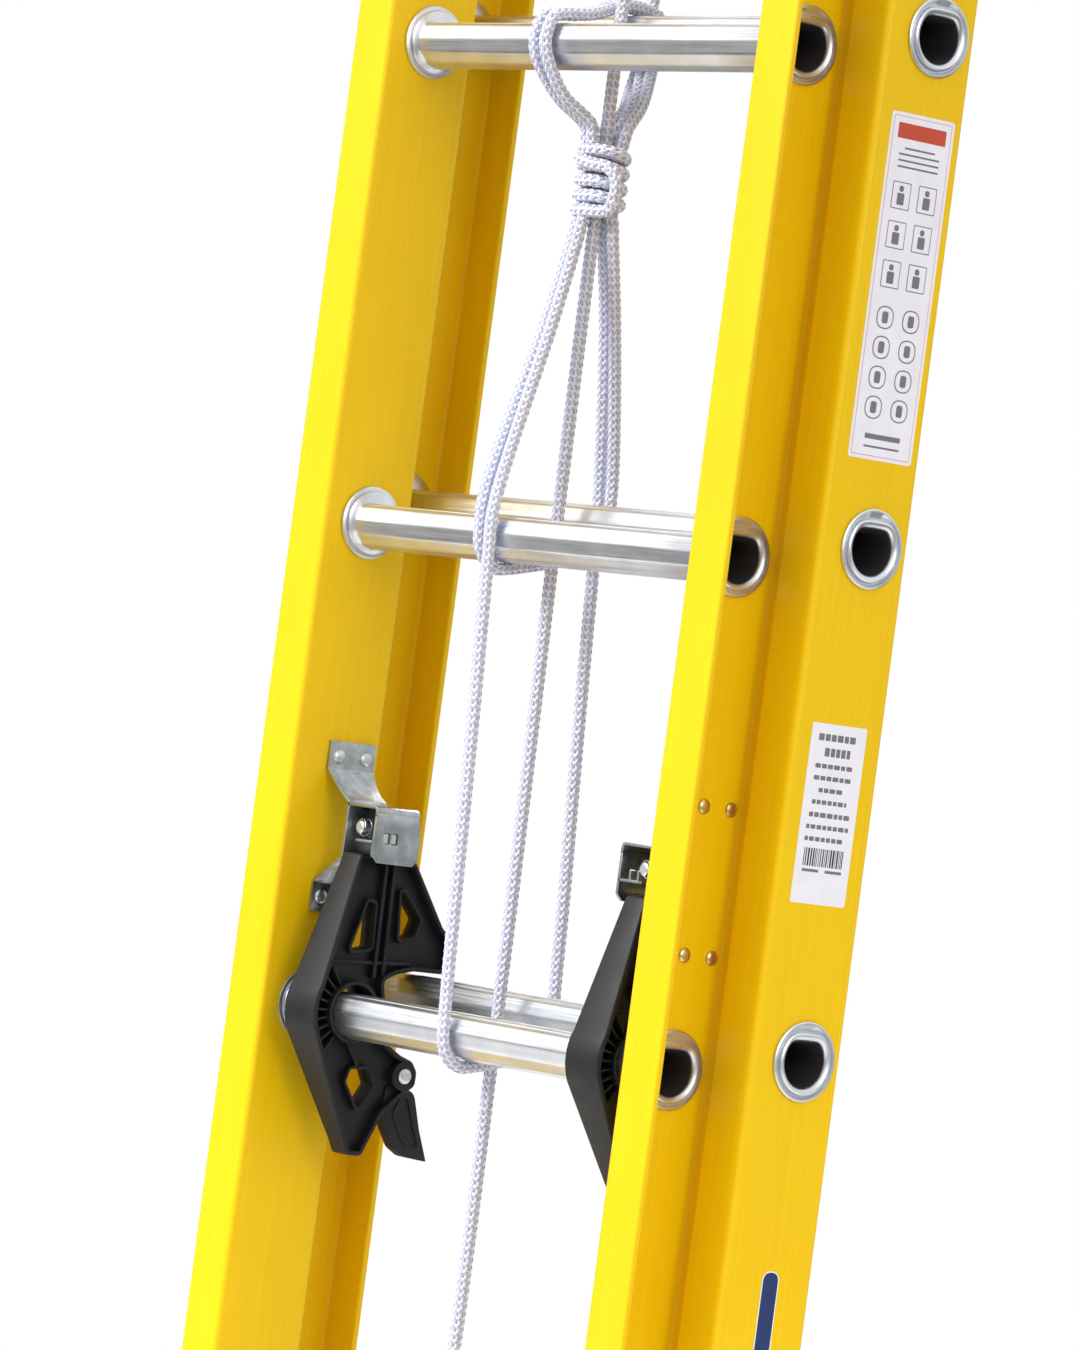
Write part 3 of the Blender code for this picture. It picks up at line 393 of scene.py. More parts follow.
def inset(outline: Sequence[Point2], depth: float) -> list[Point2]:
    """Move every side of an outline inwards by a depth.

    Args:
        outline: corners in order, either way round.
        depth: how far in; negative moves out.

    Returns:
        The corners of the smaller outline.
    """
    count = len(outline)
    area = sum(outline[i - 1][0] * outline[i][1] - outline[i][0] * outline[i - 1][1] for i in range(count))
    way = 1.0 if area > 0 else -1.0
    moved: list[Point2] = []
    for i in range(count):
        before, here, after = Vector(outline[i - 1]), Vector(outline[i]), Vector(outline[(i + 1) % count])
        first, second = (here - before).normalized(), (after - here).normalized()
        normal_a = Vector((-first.y, first.x)) * way
        normal_b = Vector((-second.y, second.x)) * way
        bisector = normal_a + normal_b
        scale = depth / max(0.35, bisector.length_squared / 2)
        moved.append(tuple(here + bisector * scale))
    return moved


def arc(centre: Point2, radius: float, first: float, last: float, steps: int) -> list[Point2]:
    """Give points along an arc, with angles in degrees."""
    angles = [math.radians(first + (last - first) * i / steps) for i in range(steps + 1)]
    return [(centre[0] + radius * math.cos(a), centre[1] + radius * math.sin(a)) for a in angles]


class Shape:
    """A mesh built up from closed shells, then turned into one object."""

    def __init__(self) -> None:
        """Start with nothing."""
        self.mesh = bmesh.new()

    def loft(
        self, rings: Sequence[Sequence[Point3]], slot: int = 0, closed: bool = False, caps: bool = True
    ) -> list[bmesh.types.BMFace]:
        """Skin rings of equal size.

        Args:
            rings: the rings in order.
            slot: material slot of the skin.
            closed: joins the last ring to the first, as round a tube.
            caps: closes both ends of an open loft.

        Returns:
            The faces made.
        """
        rows = [[self.mesh.verts.new(p) for p in ring] for ring in rings]
        count = len(rows[0])
        pairs = list(zip(rows, rows[1:])) + ([(rows[-1], rows[0])] if closed else [])
        faces = [
            self.mesh.faces.new((a[i], a[(i + 1) % count], b[(i + 1) % count], b[i]))
            for a, b in pairs
            for i in range(count)
        ]
        if caps and not closed:
            faces += [self.mesh.faces.new(rows[0]), self.mesh.faces.new(rows[-1])]
        for face in faces:
            face.material_index = slot
        bmesh.ops.recalc_face_normals(self.mesh, faces=faces)
        return faces

    def prism(self, outline: Sequence[Point2], low: float, high: float, axis: str = "Z", slot: int = 0) -> None:
        """Extrude an outline along Z from (x, y) points, or along X from (y, z) points."""
        if axis == "Z":
            rings = [[(u, v, at) for u, v in outline] for at in (low, high)]
        else:
            rings = [[(at, u, v) for u, v in outline] for at in (low, high)]
        self.loft(rings, slot)

    def plate(
        self, outline: Sequence[Point2], holes: Sequence[Sequence[Point2]], low: float, high: float, slot: int = 0
    ) -> None:
        """Extrude along X an outline of (y, z) points that has holes.

        Args:
            outline: the outer edge.
            holes: the edges of the holes.
            low: lower x.
            high: higher x.
            slot: material slot.
        """
        loops = []
        for edge in (outline, *holes):
            verts = [self.mesh.verts.new((low, u, v)) for u, v in edge]
            loops += [self.mesh.edges.new((verts[i - 1], verts[i])) for i in range(len(verts))]
        flat = bmesh.ops.triangle_fill(self.mesh, use_beauty=True, use_dissolve=False, edges=loops)
        faces = [g for g in flat["geom"] if isinstance(g, bmesh.types.BMFace)]
        grown = bmesh.ops.extrude_face_region(self.mesh, geom=faces, use_keep_orig=True)
        lifted = [g for g in grown["geom"] if isinstance(g, bmesh.types.BMVert)]
        bmesh.ops.translate(self.mesh, verts=lifted, vec=(high - low, 0, 0))
        every = {f for v in lifted for f in v.link_faces} | set(faces)
        for face in every:
            face.material_index = slot
        bmesh.ops.recalc_face_normals(self.mesh, faces=list(every))

    def turned(
        self, profile: Sequence[Point2], x: float, y: float, z: float, sides: int = 40, slot: int = 0,
        closed: bool = False
    ) -> None:
        """Turn a profile of (along X, radius) points round an axis through a point."""
        step = 2 * math.pi / sides
        rings = [
            [(x + along, y + radius * math.cos(step * i), z + radius * math.sin(step * i)) for i in range(sides)]
            for along, radius in profile
        ]
        self.loft(rings, slot, closed)

    def copy_of(self, node: str) -> None:
        """Add a frame node's mesh, with its loose triangles merged and flat faces made whole."""
        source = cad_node(node)
        first = len(self.mesh.verts)
        self.mesh.from_mesh(source.data)
        self.mesh.verts.ensure_lookup_table()
        verts = self.mesh.verts[first:]
        bmesh.ops.remove_doubles(self.mesh, verts=verts, dist=2e-6)
        bmesh.ops.dissolve_limit(
            self.mesh, angle_limit=math.radians(1.0), verts=self.mesh.verts[:], edges=self.mesh.edges[:]
        )

    def to_object(
        self, name: str, *materials: bpy.types.Material, bevel_mm: float = 0.0, segments: int = 2, angle: float = 30.0
    ) -> bpy.types.Object:
        """Finish the mesh as an object at the origin.

        Args:
            name: the piece's name.
            materials: one for each slot used.
            bevel_mm: width of the rounding on its edges; 0 leaves them.
            segments: pieces in each rounding.
            angle: edges sharper than this are rounded, and stay sharp in shading.

        Returns:
            The object.
        """
        data = bpy.data.meshes.new(name)
        self.mesh.to_mesh(data)
        self.mesh.free()
        for material in materials:
            data.materials.append(material)
        data.shade_smooth()
        obj = bpy.data.objects.new(name, data)
        bpy.context.scene.collection.objects.link(obj)
        if bevel_mm:
            edge = obj.modifiers.new("rounded edges", "BEVEL")
            edge.width, edge.segments, edge.limit_method = bevel_mm * MM, segments, "ANGLE"
            edge.angle_limit, edge.use_clamp_overlap, edge.harden_normals = math.radians(angle), True, False
            settle(obj)
        obj.data.set_sharp_from_angle(angle=math.radians(max(angle, 32.0)))
        return obj


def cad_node(node: str) -> bpy.types.Object:
    """Give the frame's object of a node."""
    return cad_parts[node]


def settle(obj: bpy.types.Object) -> None:
    """Turn an object's modifiers into its plain mesh."""
    bpy.context.view_layer.update()
    graph = bpy.context.evaluated_depsgraph_get()
    made = bpy.data.meshes.new_from_object(obj.evaluated_get(graph))
    made.name = obj.name
    obj.modifiers.clear()
    old = obj.data
    obj.data = made
    if isinstance(old, bpy.types.Mesh) and old.users == 0:
        bpy.data.meshes.remove(old)


def place_piece(obj: bpy.types.Object, body: str, slot: str, *nodes: str) -> bpy.types.Object:
    """Ride a piece on a body and say which nodes it stands for.

    Args:
        obj: the finished piece.
        body: the body it moves with.
        slot: not used.
        nodes: the nodes that it replaces.

    Returns:
        The same object.
    """
    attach(obj, body)
    if nodes:
        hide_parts(*nodes)
    LOG.info("%s: %d faces on %s", obj.name, len(obj.data.polygons), body)
    return obj


# ---------------------------------------------------------------- places


def box_of(node: str) -> tuple[Vector, Vector]:
    """Give the low and high corners of a node's box."""
    low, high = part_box(node)
    return Vector(low), Vector(high)


def middle(node: str) -> Vector:
    """Give the middle of a node's box."""
    low, high = box_of(node)
    return (low + high) / 2


def count_of(stem: str) -> int:
    """Count the frame's nodes that are named with a stem and a number."""
    return sum(1 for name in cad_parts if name.startswith(stem) and name[len(stem) :].isdigit())


class Section(Enum):
    """The two sections of the ladder, by the body that each is."""

    BASE = "base"
    FLY = "fly"


@dataclass
class Datum:
    """Heights and depths that the other classes share, read from the frame."""

    rungs: int = field(default_factory=lambda: count_of("fly_rung_"))
    fly_y: float = field(default_factory=lambda: middle("fly_rung_1").y)
    base_y: float = field(default_factory=lambda: middle("base_rung_1").y)
    fly_web: float = field(default_factory=lambda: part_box("fly_rail_right")[0][0])
    base_out: float = field(default_factory=lambda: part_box("base_rail_right")[1][0])
    wall: float = 4.3 * MM

    def rung(self, section: Section, number: int) -> Point2:
        """Give a rung's axis as (y, z)."""
        at = middle(f"{section.value}_rung_{number}")
        return at.y, at.z

    @property
    def lock(self) -> Point2:
        """The lock rung's axis as (y, z)."""
        return self.rung(Section.FLY, 2)

    def by_lock(self, back: float, up: float) -> Point2:
        """Give a point beside the lock rung, in millimetres back and up."""
        y, z = self.lock
        return y + back * MM, z + up * MM


# ---------------------------------------------------------------- rails


@dataclass
class Rail:
    """A pultruded channel with round corners and a bore for each rung."""

    section: Section
    word: str
    datum: Datum
    corner_mm: float = 4.2
    tip_mm: float = 1.7
    root_mm: float = 2.6
    bore_mm: float = 18.5

    def outline(self) -> list[Point2]:
        """Give the channel's outline in (x, y), for its own side."""
        low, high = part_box(f"{self.section.value}_rail_{self.word}")
        side = SIDES[self.word]
        front, back, wall = low[1], high[1], self.datum.wall
        near, far = sorted((abs(low[0]), abs(high[0])))
        web, tip = (near, far) if self.section is Section.FLY else (far, near)
        inner = web + (wall if tip > web else -wall)
        corners = [(web, front), (tip, front), (tip, front + wall), (inner, front + wall)]
        corners += [(inner, back - wall), (tip, back - wall), (tip, back), (web, back)]
        radii = [self.corner_mm, self.tip_mm, self.tip_mm, self.root_mm]
        radii += radii[::-1]
        return [(side * x, y) for x, y in rounded(corners, [r * MM for r in radii], 5)]

    def build(self, looks: Finishes) -> None:
        """Build the rail, bore it and dress it."""
        name = f"{self.section.value}_rail_{self.word}"
        low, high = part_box(name)
        shape = Shape()
        shape.prism(self.outline(), low[2], high[2])
        rail = shape.to_object(f"{name}_channel", looks.fibreglass)
        drills = Shape()
        side, outer = SIDES[self.word], max(abs(low[0]), abs(high[0]))
        web = outer if self.section is Section.BASE else min(abs(low[0]), abs(high[0]))
        for number in range(1, self.datum.rungs + 1):
            y, z = self.datum.rung(self.section, number)
            reach = 9 * MM
            drills.turned([(-reach, self.bore_mm * MM), (reach, self.bore_mm * MM)], side * web, y, z, 48)
        cutter = drills.to_object("drills")
        cut = rail.modifiers.new("rung bores", "BOOLEAN")
        cut.operation, cut.solver, cut.object = "DIFFERENCE", "EXACT", cutter
        settle(rail)
        bpy.data.objects.remove(cutter, do_unlink=True)
        rail.data.shade_smooth()
        rail.data.set_sharp_from_angle(angle=math.radians(32))
        place_piece(rail, self.section.value, "fibreglass", name)


# ---------------------------------------------------------------- rungs


@dataclass
class Rung:
    """A fluted D-section tube with a serrated tread, beaded and flared at its ends."""

    section: Section
    number: int
    datum: Datum
    points: int = 168
    radius_mm: float = 16.5
    flat_mm: float = 11.5
    flute_mm: float = 8.64
    flute_depth_mm: float = 0.5
    tooth_mm: float = 2.6
    tooth_depth_mm: float = 0.5

    def section_ring(
        self, x: float, radius: float, flat: float | None, detail: float, lift: float = 0.0
    ) -> list[Point3]:
        """Give one ring of the tube.

        Args:
            x: where along the rung.
            radius: radius of the round part, in millimetres.
            flat: height of the tread, in millimetres, or None for a round ring.
            detail: share of the flutes and teeth that shows.
            lift: moves the ring up, in millimetres.

        Returns:
            The ring's points.
        """
        y0, z0 = self.datum.rung(self.section, self.number)
        ring = []
        for i in range(self.points):
            turn = 2 * math.pi * (i + 0.5) / self.points
            u, v = math.cos(turn), math.sin(turn)
            out = radius
            if flat is not None and v > 0:
                out = min(radius, flat / v)
                sharp = 8 if detail else 13
                out = (radius ** -sharp + (flat / v) ** -sharp) ** (-1 / sharp) if flat / v < 2 * radius else radius
            if detail:
                on_tread = flat is not None and out * v > 0.93 * flat
                if on_tread:
                    phase = (out * u / self.tooth_mm) % 1.0
                    out -= detail * self.tooth_depth_mm * (1 - abs(2 * phase - 1)) / max(v, 0.5)
                else:
                    run = radius * turn / self.flute_mm
                    out -= detail * self.flute_depth_mm * abs(math.sin(math.pi * run))
            ring.append((x, y0 + out * u * MM, z0 + (out * v + lift) * MM))
        return ring

    def build(self, looks: Finishes) -> None:
        """Build the rung and dress it."""
        name = f"{self.section.value}_rung_{self.number}"
        web = self.datum.fly_web if self.section is Section.FLY else self.datum.base_out - self.datum.wall
        face = web + self.datum.wall
        r, f = self.radius_mm, self.flat_mm
        half = [
            (web - 60 * MM, r, f, 1.0), (web - 8.6 * MM, r, f, 1.0), (web - 7.2 * MM, r + 0.4, f + 0.8, 0.6),
            (web - 6.3 * MM, r + 1.2, f + 3.2, 0.2), (web - 5.7 * MM, 18.2, None, 0), (web - 5.0 * MM, 19.4, None, 0),
            (web - 4.2 * MM, 19.8, None, 0), (web - 3.4 * MM, 19.4, None, 0), (web - 2.9 * MM, 18.5, None, 0),
            (web - 2.7 * MM, 18.5, None, 0), (web - 2.6 * MM, 21.3, None, 0), (web - 2.0 * MM, 22.3, None, 0),
            (web - 0.8 * MM, 22.5, None, 0), (web - 0.3 * MM, 22.1, None, 0), (web - 0.3 * MM, 18.2, None, 0),
            (face + 0.3 * MM, 18.2, None, 0), (face + 0.3 * MM, 23.0, None, 0), (face + 0.7 * MM, 23.6, None, 0),
            (face + 1.5 * MM, 23.4, None, 0), (face + 2.0 * MM, 22.6, None, 0), (face + 2.0 * MM, 21.6, None, 0),
            (face + 0.6 * MM, 20.9, 19.6, 0), (face + 0.6 * MM, 20.0, 18.0, 0), (face + 2.5 * MM, 19.4, 16.9, 0),
            (face + 3.1 * MM, 18.5, 15.7, 0), (face + 2.9 * MM, 17.4, 14.2, 0), (face + 2.2 * MM, 16.5, 13.2, 0),
        ]
        bore = [
            (face + 1.6 * MM, 15.9, 12.5, 0), (face + 0.2 * MM, 15.5, 12.0, 0), (face - 3 * MM, 15.2, 11.4, 0),
            (face - 12 * MM, 14.7, 9.9, 0),
        ]
        shape = Shape()
        outside = [
            self.section_ring(-x, *rest) for x, *rest in reversed(half)
        ] + [self.section_ring(x, *rest) for x, *rest in half]
        inside = [self.section_ring(x, *rest) for x, *rest in bore] + [
            self.section_ring(-x, *rest) for x, *rest in reversed(bore)
        ]
        faces = shape.loft(outside + inside, closed=True)
        # The bore's inner faces take slot 1, the painted-shade material.
        painted_shade_from = (len(outside) + 1) * self.points
        for face_made in faces[painted_shade_from : (len(outside) + len(inside) - 2) * self.points]:
            face_made.material_index = 1
        rung = shape.to_object(f"{name}_tube", looks.aluminium, looks.bore, angle=24)
        place_piece(rung, self.section.value, "rung_aluminium", name)


# ---------------------------------------------------------------- rung locks


@dataclass
class RungLock:
    """A kite-shaped moulded lock: a wide edge that swells at the hub, a thin web, windows and ribs."""

    word: str
    datum: Datum
    rim_mm: float = 2.8
    web_mm: float = 5.0
    ribs: int = 9
    nose_mm: float = 33.5
    half_mm: float = 9.0
    swell_mm: float = 6.0
    taper_mm: float = 1.5
    hole_mm: float = 16.9
    collar_mm: float = 19.2
    boss_mm: float = 9.2
    pin_mm: Point2 = (48.5, -36.5)
    pin_hole_mm: float = 3.2

    def outline(self) -> list[Point2]:
        """Give the lock's edge in (y, z), with its corners rounded."""
        nose = arc(self.datum.lock, self.nose_mm * MM, 207, 153, 12)
        rest = [
            (-8, 97), (35, 97), (64, 57), (74, 49.5), (75, 31.5), (72, 28.5), (45, 28.5), (32, 25.5), (23, 21),
            (26, 8), (27, -8)
        ]
        rest += [
            (31, -17), (44, -24), (53.5, -27), (58, -33), (58, -42), (50, -48), (36, -61), (24, -88), (12.5, -88),
            (8, -80)
        ]
        radii = [0] * 13 + [3, 4, 10, 6, 2.5, 2, 4, 8, 4, 8, 8, 8, 8, 6, 5, 5, 5, 6, 4, 4, 10]
        return rounded(nose + [self.datum.by_lock(*p) for p in rest], [r * MM for r in radii], 5)

    def half_width(self, y: float, z: float) -> float:
        """Half the edge's width at a point: narrow arms, wide over the front of the hub, narrower at the foot."""
        y0, z0 = self.datum.lock
        up = (z - z0) / MM
        share = min(1.0, max(0.0, 1 - (abs(up + 2) - 14) / 26)) * (1.0 if (y - y0) / MM < 6 else 0.0)
        foot = max(0.0, min(1.0, (-up - 40) / 40))
        smooth = share * share * (3 - 2 * share)
        return (self.half_mm + self.swell_mm * smooth - self.taper_mm * foot) * MM

    def windows(self) -> list[list[Point2]]:
        """Give the edges of the three windows."""
        front = [(-5, 36.5), (12, 40), (10.5, 68), (5, 69)]
        back = [(29.5, 80), (32.5, 46), (44, 50), (47.5, 60)]
        low = [(8, -35), (22, -34.5), (27, -44), (17.5, -60), (5.5, -43)]
        return [rounded([self.datum.by_lock(*p) for p in shape], 2.4 * MM, 3) for shape in (front, back, low)]

    def rim(self, shape: Shape, x: float) -> None:
        """Add the edge all round, as wide as its place asks."""
        edge = self.outline()
        inner = inset(edge, self.rim_mm * MM)
        rings = []
        for (y, z), (v, w) in zip(edge, inner):
            half = self.half_width(y, z)
            ease = 0.7 * MM
            u, q = y + (v - y) * 0.25, z + (w - z) * 0.25
            rings.append(
                [
                    (x - half, u, q), (x - half + ease, y, z), (x + half - ease, y, z), (x + half, u, q),
                    (x + half, v, w), (x - half, v, w)
                ]
            )
        shape.loft(rings, closed=True)

    def ribbing(self, shape: Shape, x: float) -> None:
        """Add the fan round the hub and the ribs between the windows."""
        y, z = self.datum.lock
        for i in range(self.ribs):
            turn = math.radians(126 + 108 * i / (self.ribs - 1))
            way, across = Vector((math.cos(turn), math.sin(turn))), Vector((-math.sin(turn), math.cos(turn)))
            near, far, half = 18.6 * MM, 31.8 * MM, 0.6 * MM
            corners = [
                way * near + across * half, way * far + across * half, way * far - across * half,
                way * near - across * half
            ]
            shape.prism([(y + c.x, z + c.y) for c in corners], x - 10.5 * MM, x + 10.5 * MM, "X")
        for stem in (((14.5, 22), (17, 22), (15.5, 95), (13.5, 95)), ((21.5, 24), (24, 24), (22, 95), (20, 95))):
            shape.prism([self.datum.by_lock(*p) for p in stem], x - 7.2 * MM, x + 7.2 * MM, "X")
        for stem in (
            ((-25, 30.5), (-25, 28.5), (44, 31.5), (44, 33.5)), ((2, -20), (4, -20), (13.5, -33), (11.5, -33))
        ):
            shape.prism([self.datum.by_lock(*p) for p in stem], x - 6.4 * MM, x + 6.4 * MM, "X")

    def build(self, looks: Finishes) -> None:
        """Build the lock and dress it."""
        name = f"rung_lock_{self.word}"
        x = middle(name).x
        windows = self.windows()
        shape = Shape()
        self.rim(shape, x)
        half = self.web_mm * MM / 2
        hub = arc(self.datum.lock, self.hole_mm * MM, 0, 345, 23)
        shape.plate(inset(self.outline(), 0.8 * self.rim_mm * MM), [*windows, hub], x - half, x + half)
        shape.plate(arc(self.datum.lock, self.collar_mm * MM, 0, 345, 23), [hub], x - 12.5 * MM, x + 12.5 * MM)
        for window in windows:
            shape.plate(inset(window, -1.7 * MM), [window], x - 6.2 * MM, x + 6.2 * MM)
        self.ribbing(shape, x)
        pin = self.datum.by_lock(*self.pin_mm)
        boss, pin_hole = (arc(pin, r * MM, 0, 345, 23) for r in (self.boss_mm, self.pin_hole_mm))
        for near, far in ((-8.9, -4.6), (4.6, 8.9)):
            shape.plate(boss, [pin_hole], x + near * MM, x + far * MM)
        lock = shape.to_object(f"{name}_moulding", looks.lock_nylon, bevel_mm=0.45)
        place_piece(lock, f"lock_{self.word}", "lock_nylon", name)
        self.build_flipper(x, looks)

    def build_flipper(self, x: float, looks: Finishes) -> None:
        """Build the hanging blade and the pin with its domed heads."""
        pin_y, pin_z = self.datum.by_lock(*self.pin_mm)
        boss = arc((pin_y, pin_z), 8.6 * MM, 20, 176, 12)
        tail = [(-9.5, -7), (-10.5, -26), (2.5, -45), (11.5, -50), (30, -52), (21.5, -33), (13.3, -9)]
        radii = [3, 4, 8, 6, 0.8, 20, 8]
        path = boss + rounded([(pin_y + a * MM, pin_z + b * MM) for a, b in tail], [r * MM for r in radii], 4)
        shape = Shape()
        shape.prism(path, x - 3.9 * MM, x + 3.9 * MM, "X")
        lower = [(-2, -24), (6, -38), (13, -44.5), (24, -45), (16.5, -30), (9.5, -12), (3, -12)]
        rim = rounded([(pin_y + a * MM, pin_z + b * MM) for a, b in lower], 3 * MM, 3)
        shape.plate(rim, [inset(rim, 1.6 * MM)], x - 4.6 * MM, x + 4.6 * MM)
        finger = shape.to_object(f"lock_flipper_{self.word}_finger", looks.lock_nylon, bevel_mm=0.6)
        place_piece(finger, f"flipper_{self.word}", "lock_nylon", f"lock_flipper_{self.word}")
        pin = Shape()
        dome = [(9.3, 4.9), (9.9, 4.7), (10.5, 4.0), (10.9, 2.6), (11.0, 0.05)]
        left = [(-a, r) for a, r in reversed(dome)]
        profile = [(a * MM, r * MM) for a, r in left + [(-9.3, 3), (9.3, 3)] + dome]
        pin.turned(profile, x, pin_y, pin_z, 28)
        made = pin.to_object(f"flipper_pin_{self.word}_rivet", looks.bright)
        place_piece(made, f"lock_{self.word}", "zinc_steel", f"flipper_pin_{self.word}")


# ---------------------------------------------------------------- lock brackets


@dataclass
class LockBracket:
    """A sheet bracket riveted to the web, bent out to a box round the lock's tip, with a spring."""

    word: str
    datum: Datum
    sheet_mm: float = 1.9
    head_mm: float = 4.5
    turns: int = 6

    def ribbon(self, shape: Shape, line: Sequence[Point2], fronts: Sequence[float], backs: Sequence[float]) -> None:
        """Add a bent sheet.

        Args:
            shape: what it is added to.
            line: the sheet's middle line as (distance from the ladder's middle, height), in millimetres.
            fronts: its front edge at each point, in millimetres back from the rung.
            backs: its back edge at each point.
        """
        side, (y0, z0), half = SIDES[self.word], self.datum.lock, self.sheet_mm / 2
        rings = []
        for i, (x, up) in enumerate(line):
            ahead, behind = Vector(line[min(i + 1, len(line) - 1)]), Vector(line[max(i - 1, 0)])
            along = (ahead - behind).normalized()
            across = Vector((-along.y, along.x)) * half
            front, back = y0 + fronts[i] * MM, y0 + backs[i] * MM
            near, far = (x + across.x, up + across.y), (x - across.x, up - across.y)
            rings.append(
                [
                    (side * u * MM, y, z0 + w * MM)
                    for (u, w), y in ((near, front), (near, back), (far, back), (far, front))
                ]
            )
        shape.loft(rings)

    def oblong(self, left: float, wide: float, low: float, high: float, corner: float) -> list[Point2]:
        """Give a small upright rectangle beside the lock rung, with round corners, all in millimetres."""
        corners = [(left, high), (left + wide, high), (left + wide, low), (left, low)]
        return rounded([self.datum.by_lock(*p) for p in corners], corner * MM, 2)

    def build(self, looks: Finishes) -> None:
        """Build the bracket, its rivets and its spring."""
        name = f"lock_bracket_{self.word}"
        side = SIDES[self.word]
        low, high = box_of(name)
        y0, z0 = self.datum.lock
        web = max(abs(low.x), abs(high.x)) / MM - self.sheet_mm / 2
        plate = min(abs(low.x), abs(high.x)) / MM + self.sheet_mm / 2
        box = middle(f"rung_lock_{self.word}").x * side / MM + 9.5 + self.sheet_mm / 2 + 0.1
        foot, top = (low.z - z0) / MM, (high.z - z0) / MM
        shape = Shape()
        line = [
            (web, top), (web, 146.5), (web - 1.2, 144.6), (web - 7, 140.6), (web - 9, 138.2), (web - 15, 134),
            (web - 17.5, 131.5)
        ]
        line += [
            (box + 1.4, 128.4), (box, 126.0), (box, 95.5), (box + 0.8, 92.8), (web - 17.5, 88.6), (web - 15, 86),
            (web - 9, 83.4), (web - 7, 81)
        ]
        line += [(web - 1.2, 77), (web, 75), (web, foot)]
        fronts = [-8.7, -8.7, -8.7, -8.5, -8.3, -8.1, -8] + [-7.8] * 5 + [-7.9] * 3 + [-8.2] * 3
        backs = [27.3, 27.3, 27, 25, 24] + [22.5] * 13
        self.ribbon(shape, line, fronts, backs)
        hood = [(box + 0.6, 126.4), (plate + 2.2, 126.4), (plate + 0.6, 125.9), (plate, 124.2), (plate, 121)]
        self.ribbon(shape, hood, [-7.8] * 5, [25.5] * 5)
        cheek_mm = [(-7.8, 123), (25.5, 123), (28.2, 110), (28.2, 96.5), (24.5, 92.6), (-3.8, 92.6), (-7.8, 96.6)]
        cheek = rounded([self.datum.by_lock(*p) for p in cheek_mm], 1.4 * MM, 3)
        slots = [self.oblong(left, 5.2, 104.6, 111.6, 0.8) for left in (-0.6, 5.6)]
        face = side * (plate - self.sheet_mm / 2) * MM, side * (plate + self.sheet_mm / 2) * MM
        shape.plate(cheek, slots, *sorted(face))
        back_wall = [(plate, 24.6), (box, 24.6), (box, 26.4), (plate, 26.4)]
        lip = [(plate, -7.8), (plate + 17, -7.8), (plate + 18.5, -5.5), (plate + 18.5, -3), (plate, -3)]
        for sheet, start, end in ((back_wall, 101.5, 126), (lip, 104.2, 105.8)):
            shape.prism([(side * x * MM, y0 + back * MM) for x, back in sheet], z0 + start * MM, z0 + end * MM)
        bracket = shape.to_object(f"{name}_pressing", looks.zinc, bevel_mm=0.35)
        place_piece(bracket, "fly", "zinc_steel", name)
        tongues = Shape()
        for left in (0.2, 6.4):
            reach = sorted(side * (plate + depth) * MM for depth in (0.2, 1.6))
            tongues.prism(self.oblong(left, 3.8, 105.2, 111, 0.6), *reach, "X")
        place_piece(tongues.to_object(f"{name}_tongues", looks.bright), "fly", "zinc_steel")
        self.build_rivets(side * (web - self.sheet_mm / 2) * MM, looks)
        self.build_spring(looks)

    def build_rivets(self, x_inner: float, looks: Finishes) -> None:
        """Build the rivets' heads on both faces of the web."""
        side = SIDES[self.word]
        x_outer = side * (self.datum.fly_web + self.datum.wall)
        places = [self.datum.by_lock(back, up) for up in (67, 154) for back in (-1, 20)]
        for label, x, way, look in (("bright", x_inner, -side, looks.bright), ("gold", x_outer, side, looks.rivet)):
            head = Shape()
            r = self.head_mm
            dome = [(0, 0.4 * r), (0, r), (0.5, r), (1.2, 0.86 * r), (1.7, 0.6 * r), (1.95, 0.3 * r), (2.0, 0.03)]
            head.turned([(way * a * MM, b * MM) for a, b in dome], 0, 0, 0, 20)
            seed = head.to_object("rivet_head_seed", look)
            heads = HeadsOnPoints().build(
                f"bracket_rivets_{self.word}_{label}", [(x, y, z) for y, z in places], seed, look
            )
            nodes = [f"bracket_rivet_{self.word}_{n}" for n in range(1, 5)] if label == "gold" else []
            place_piece(heads, "fly", "rivet_steel", *nodes)

    def build_spring(self, looks: Finishes) -> None:
        """Build the coil spring over the lock's tip, on a short bolt."""
        node = f"lock_spring_{self.word}"
        low, high = box_of(node)
        centre = (low + high) / 2
        radius = (high.x - low.x) / 2 - 0.9 * MM
        spring = CoilSpring().build(f"{node}_coil", centre, high.y - low.y - 2 * MM, radius, self.turns, looks.spring)
        place_piece(spring, "fly", "spring_steel", node)
        reach = (high.y - low.y) / 2
        profile = [
            (-reach, 0.1), (-reach, 2.8), (-reach + 0.7 * MM, 3.9), (-reach + 2.6 * MM, 4.1),
            (-reach + 2.6 * MM, 2.9), (reach, 2.9), (reach, 0.1)
        ]
        shape = Shape()
        shape.turned([(a, r * MM) for a, r in profile], 0, 0, 0, 24)
        bmesh.ops.rotate(
            shape.mesh, verts=shape.mesh.verts, cent=(0, 0, 0), matrix=Matrix.Rotation(math.pi / 2, 3, "Z")
        )
        bmesh.ops.translate(shape.mesh, verts=shape.mesh.verts, vec=centre)
        place_piece(shape.to_object(f"{node}_bolt", looks.bright), "fly", "zinc_steel")


# ---------------------------------------------------------------- geometry node tools


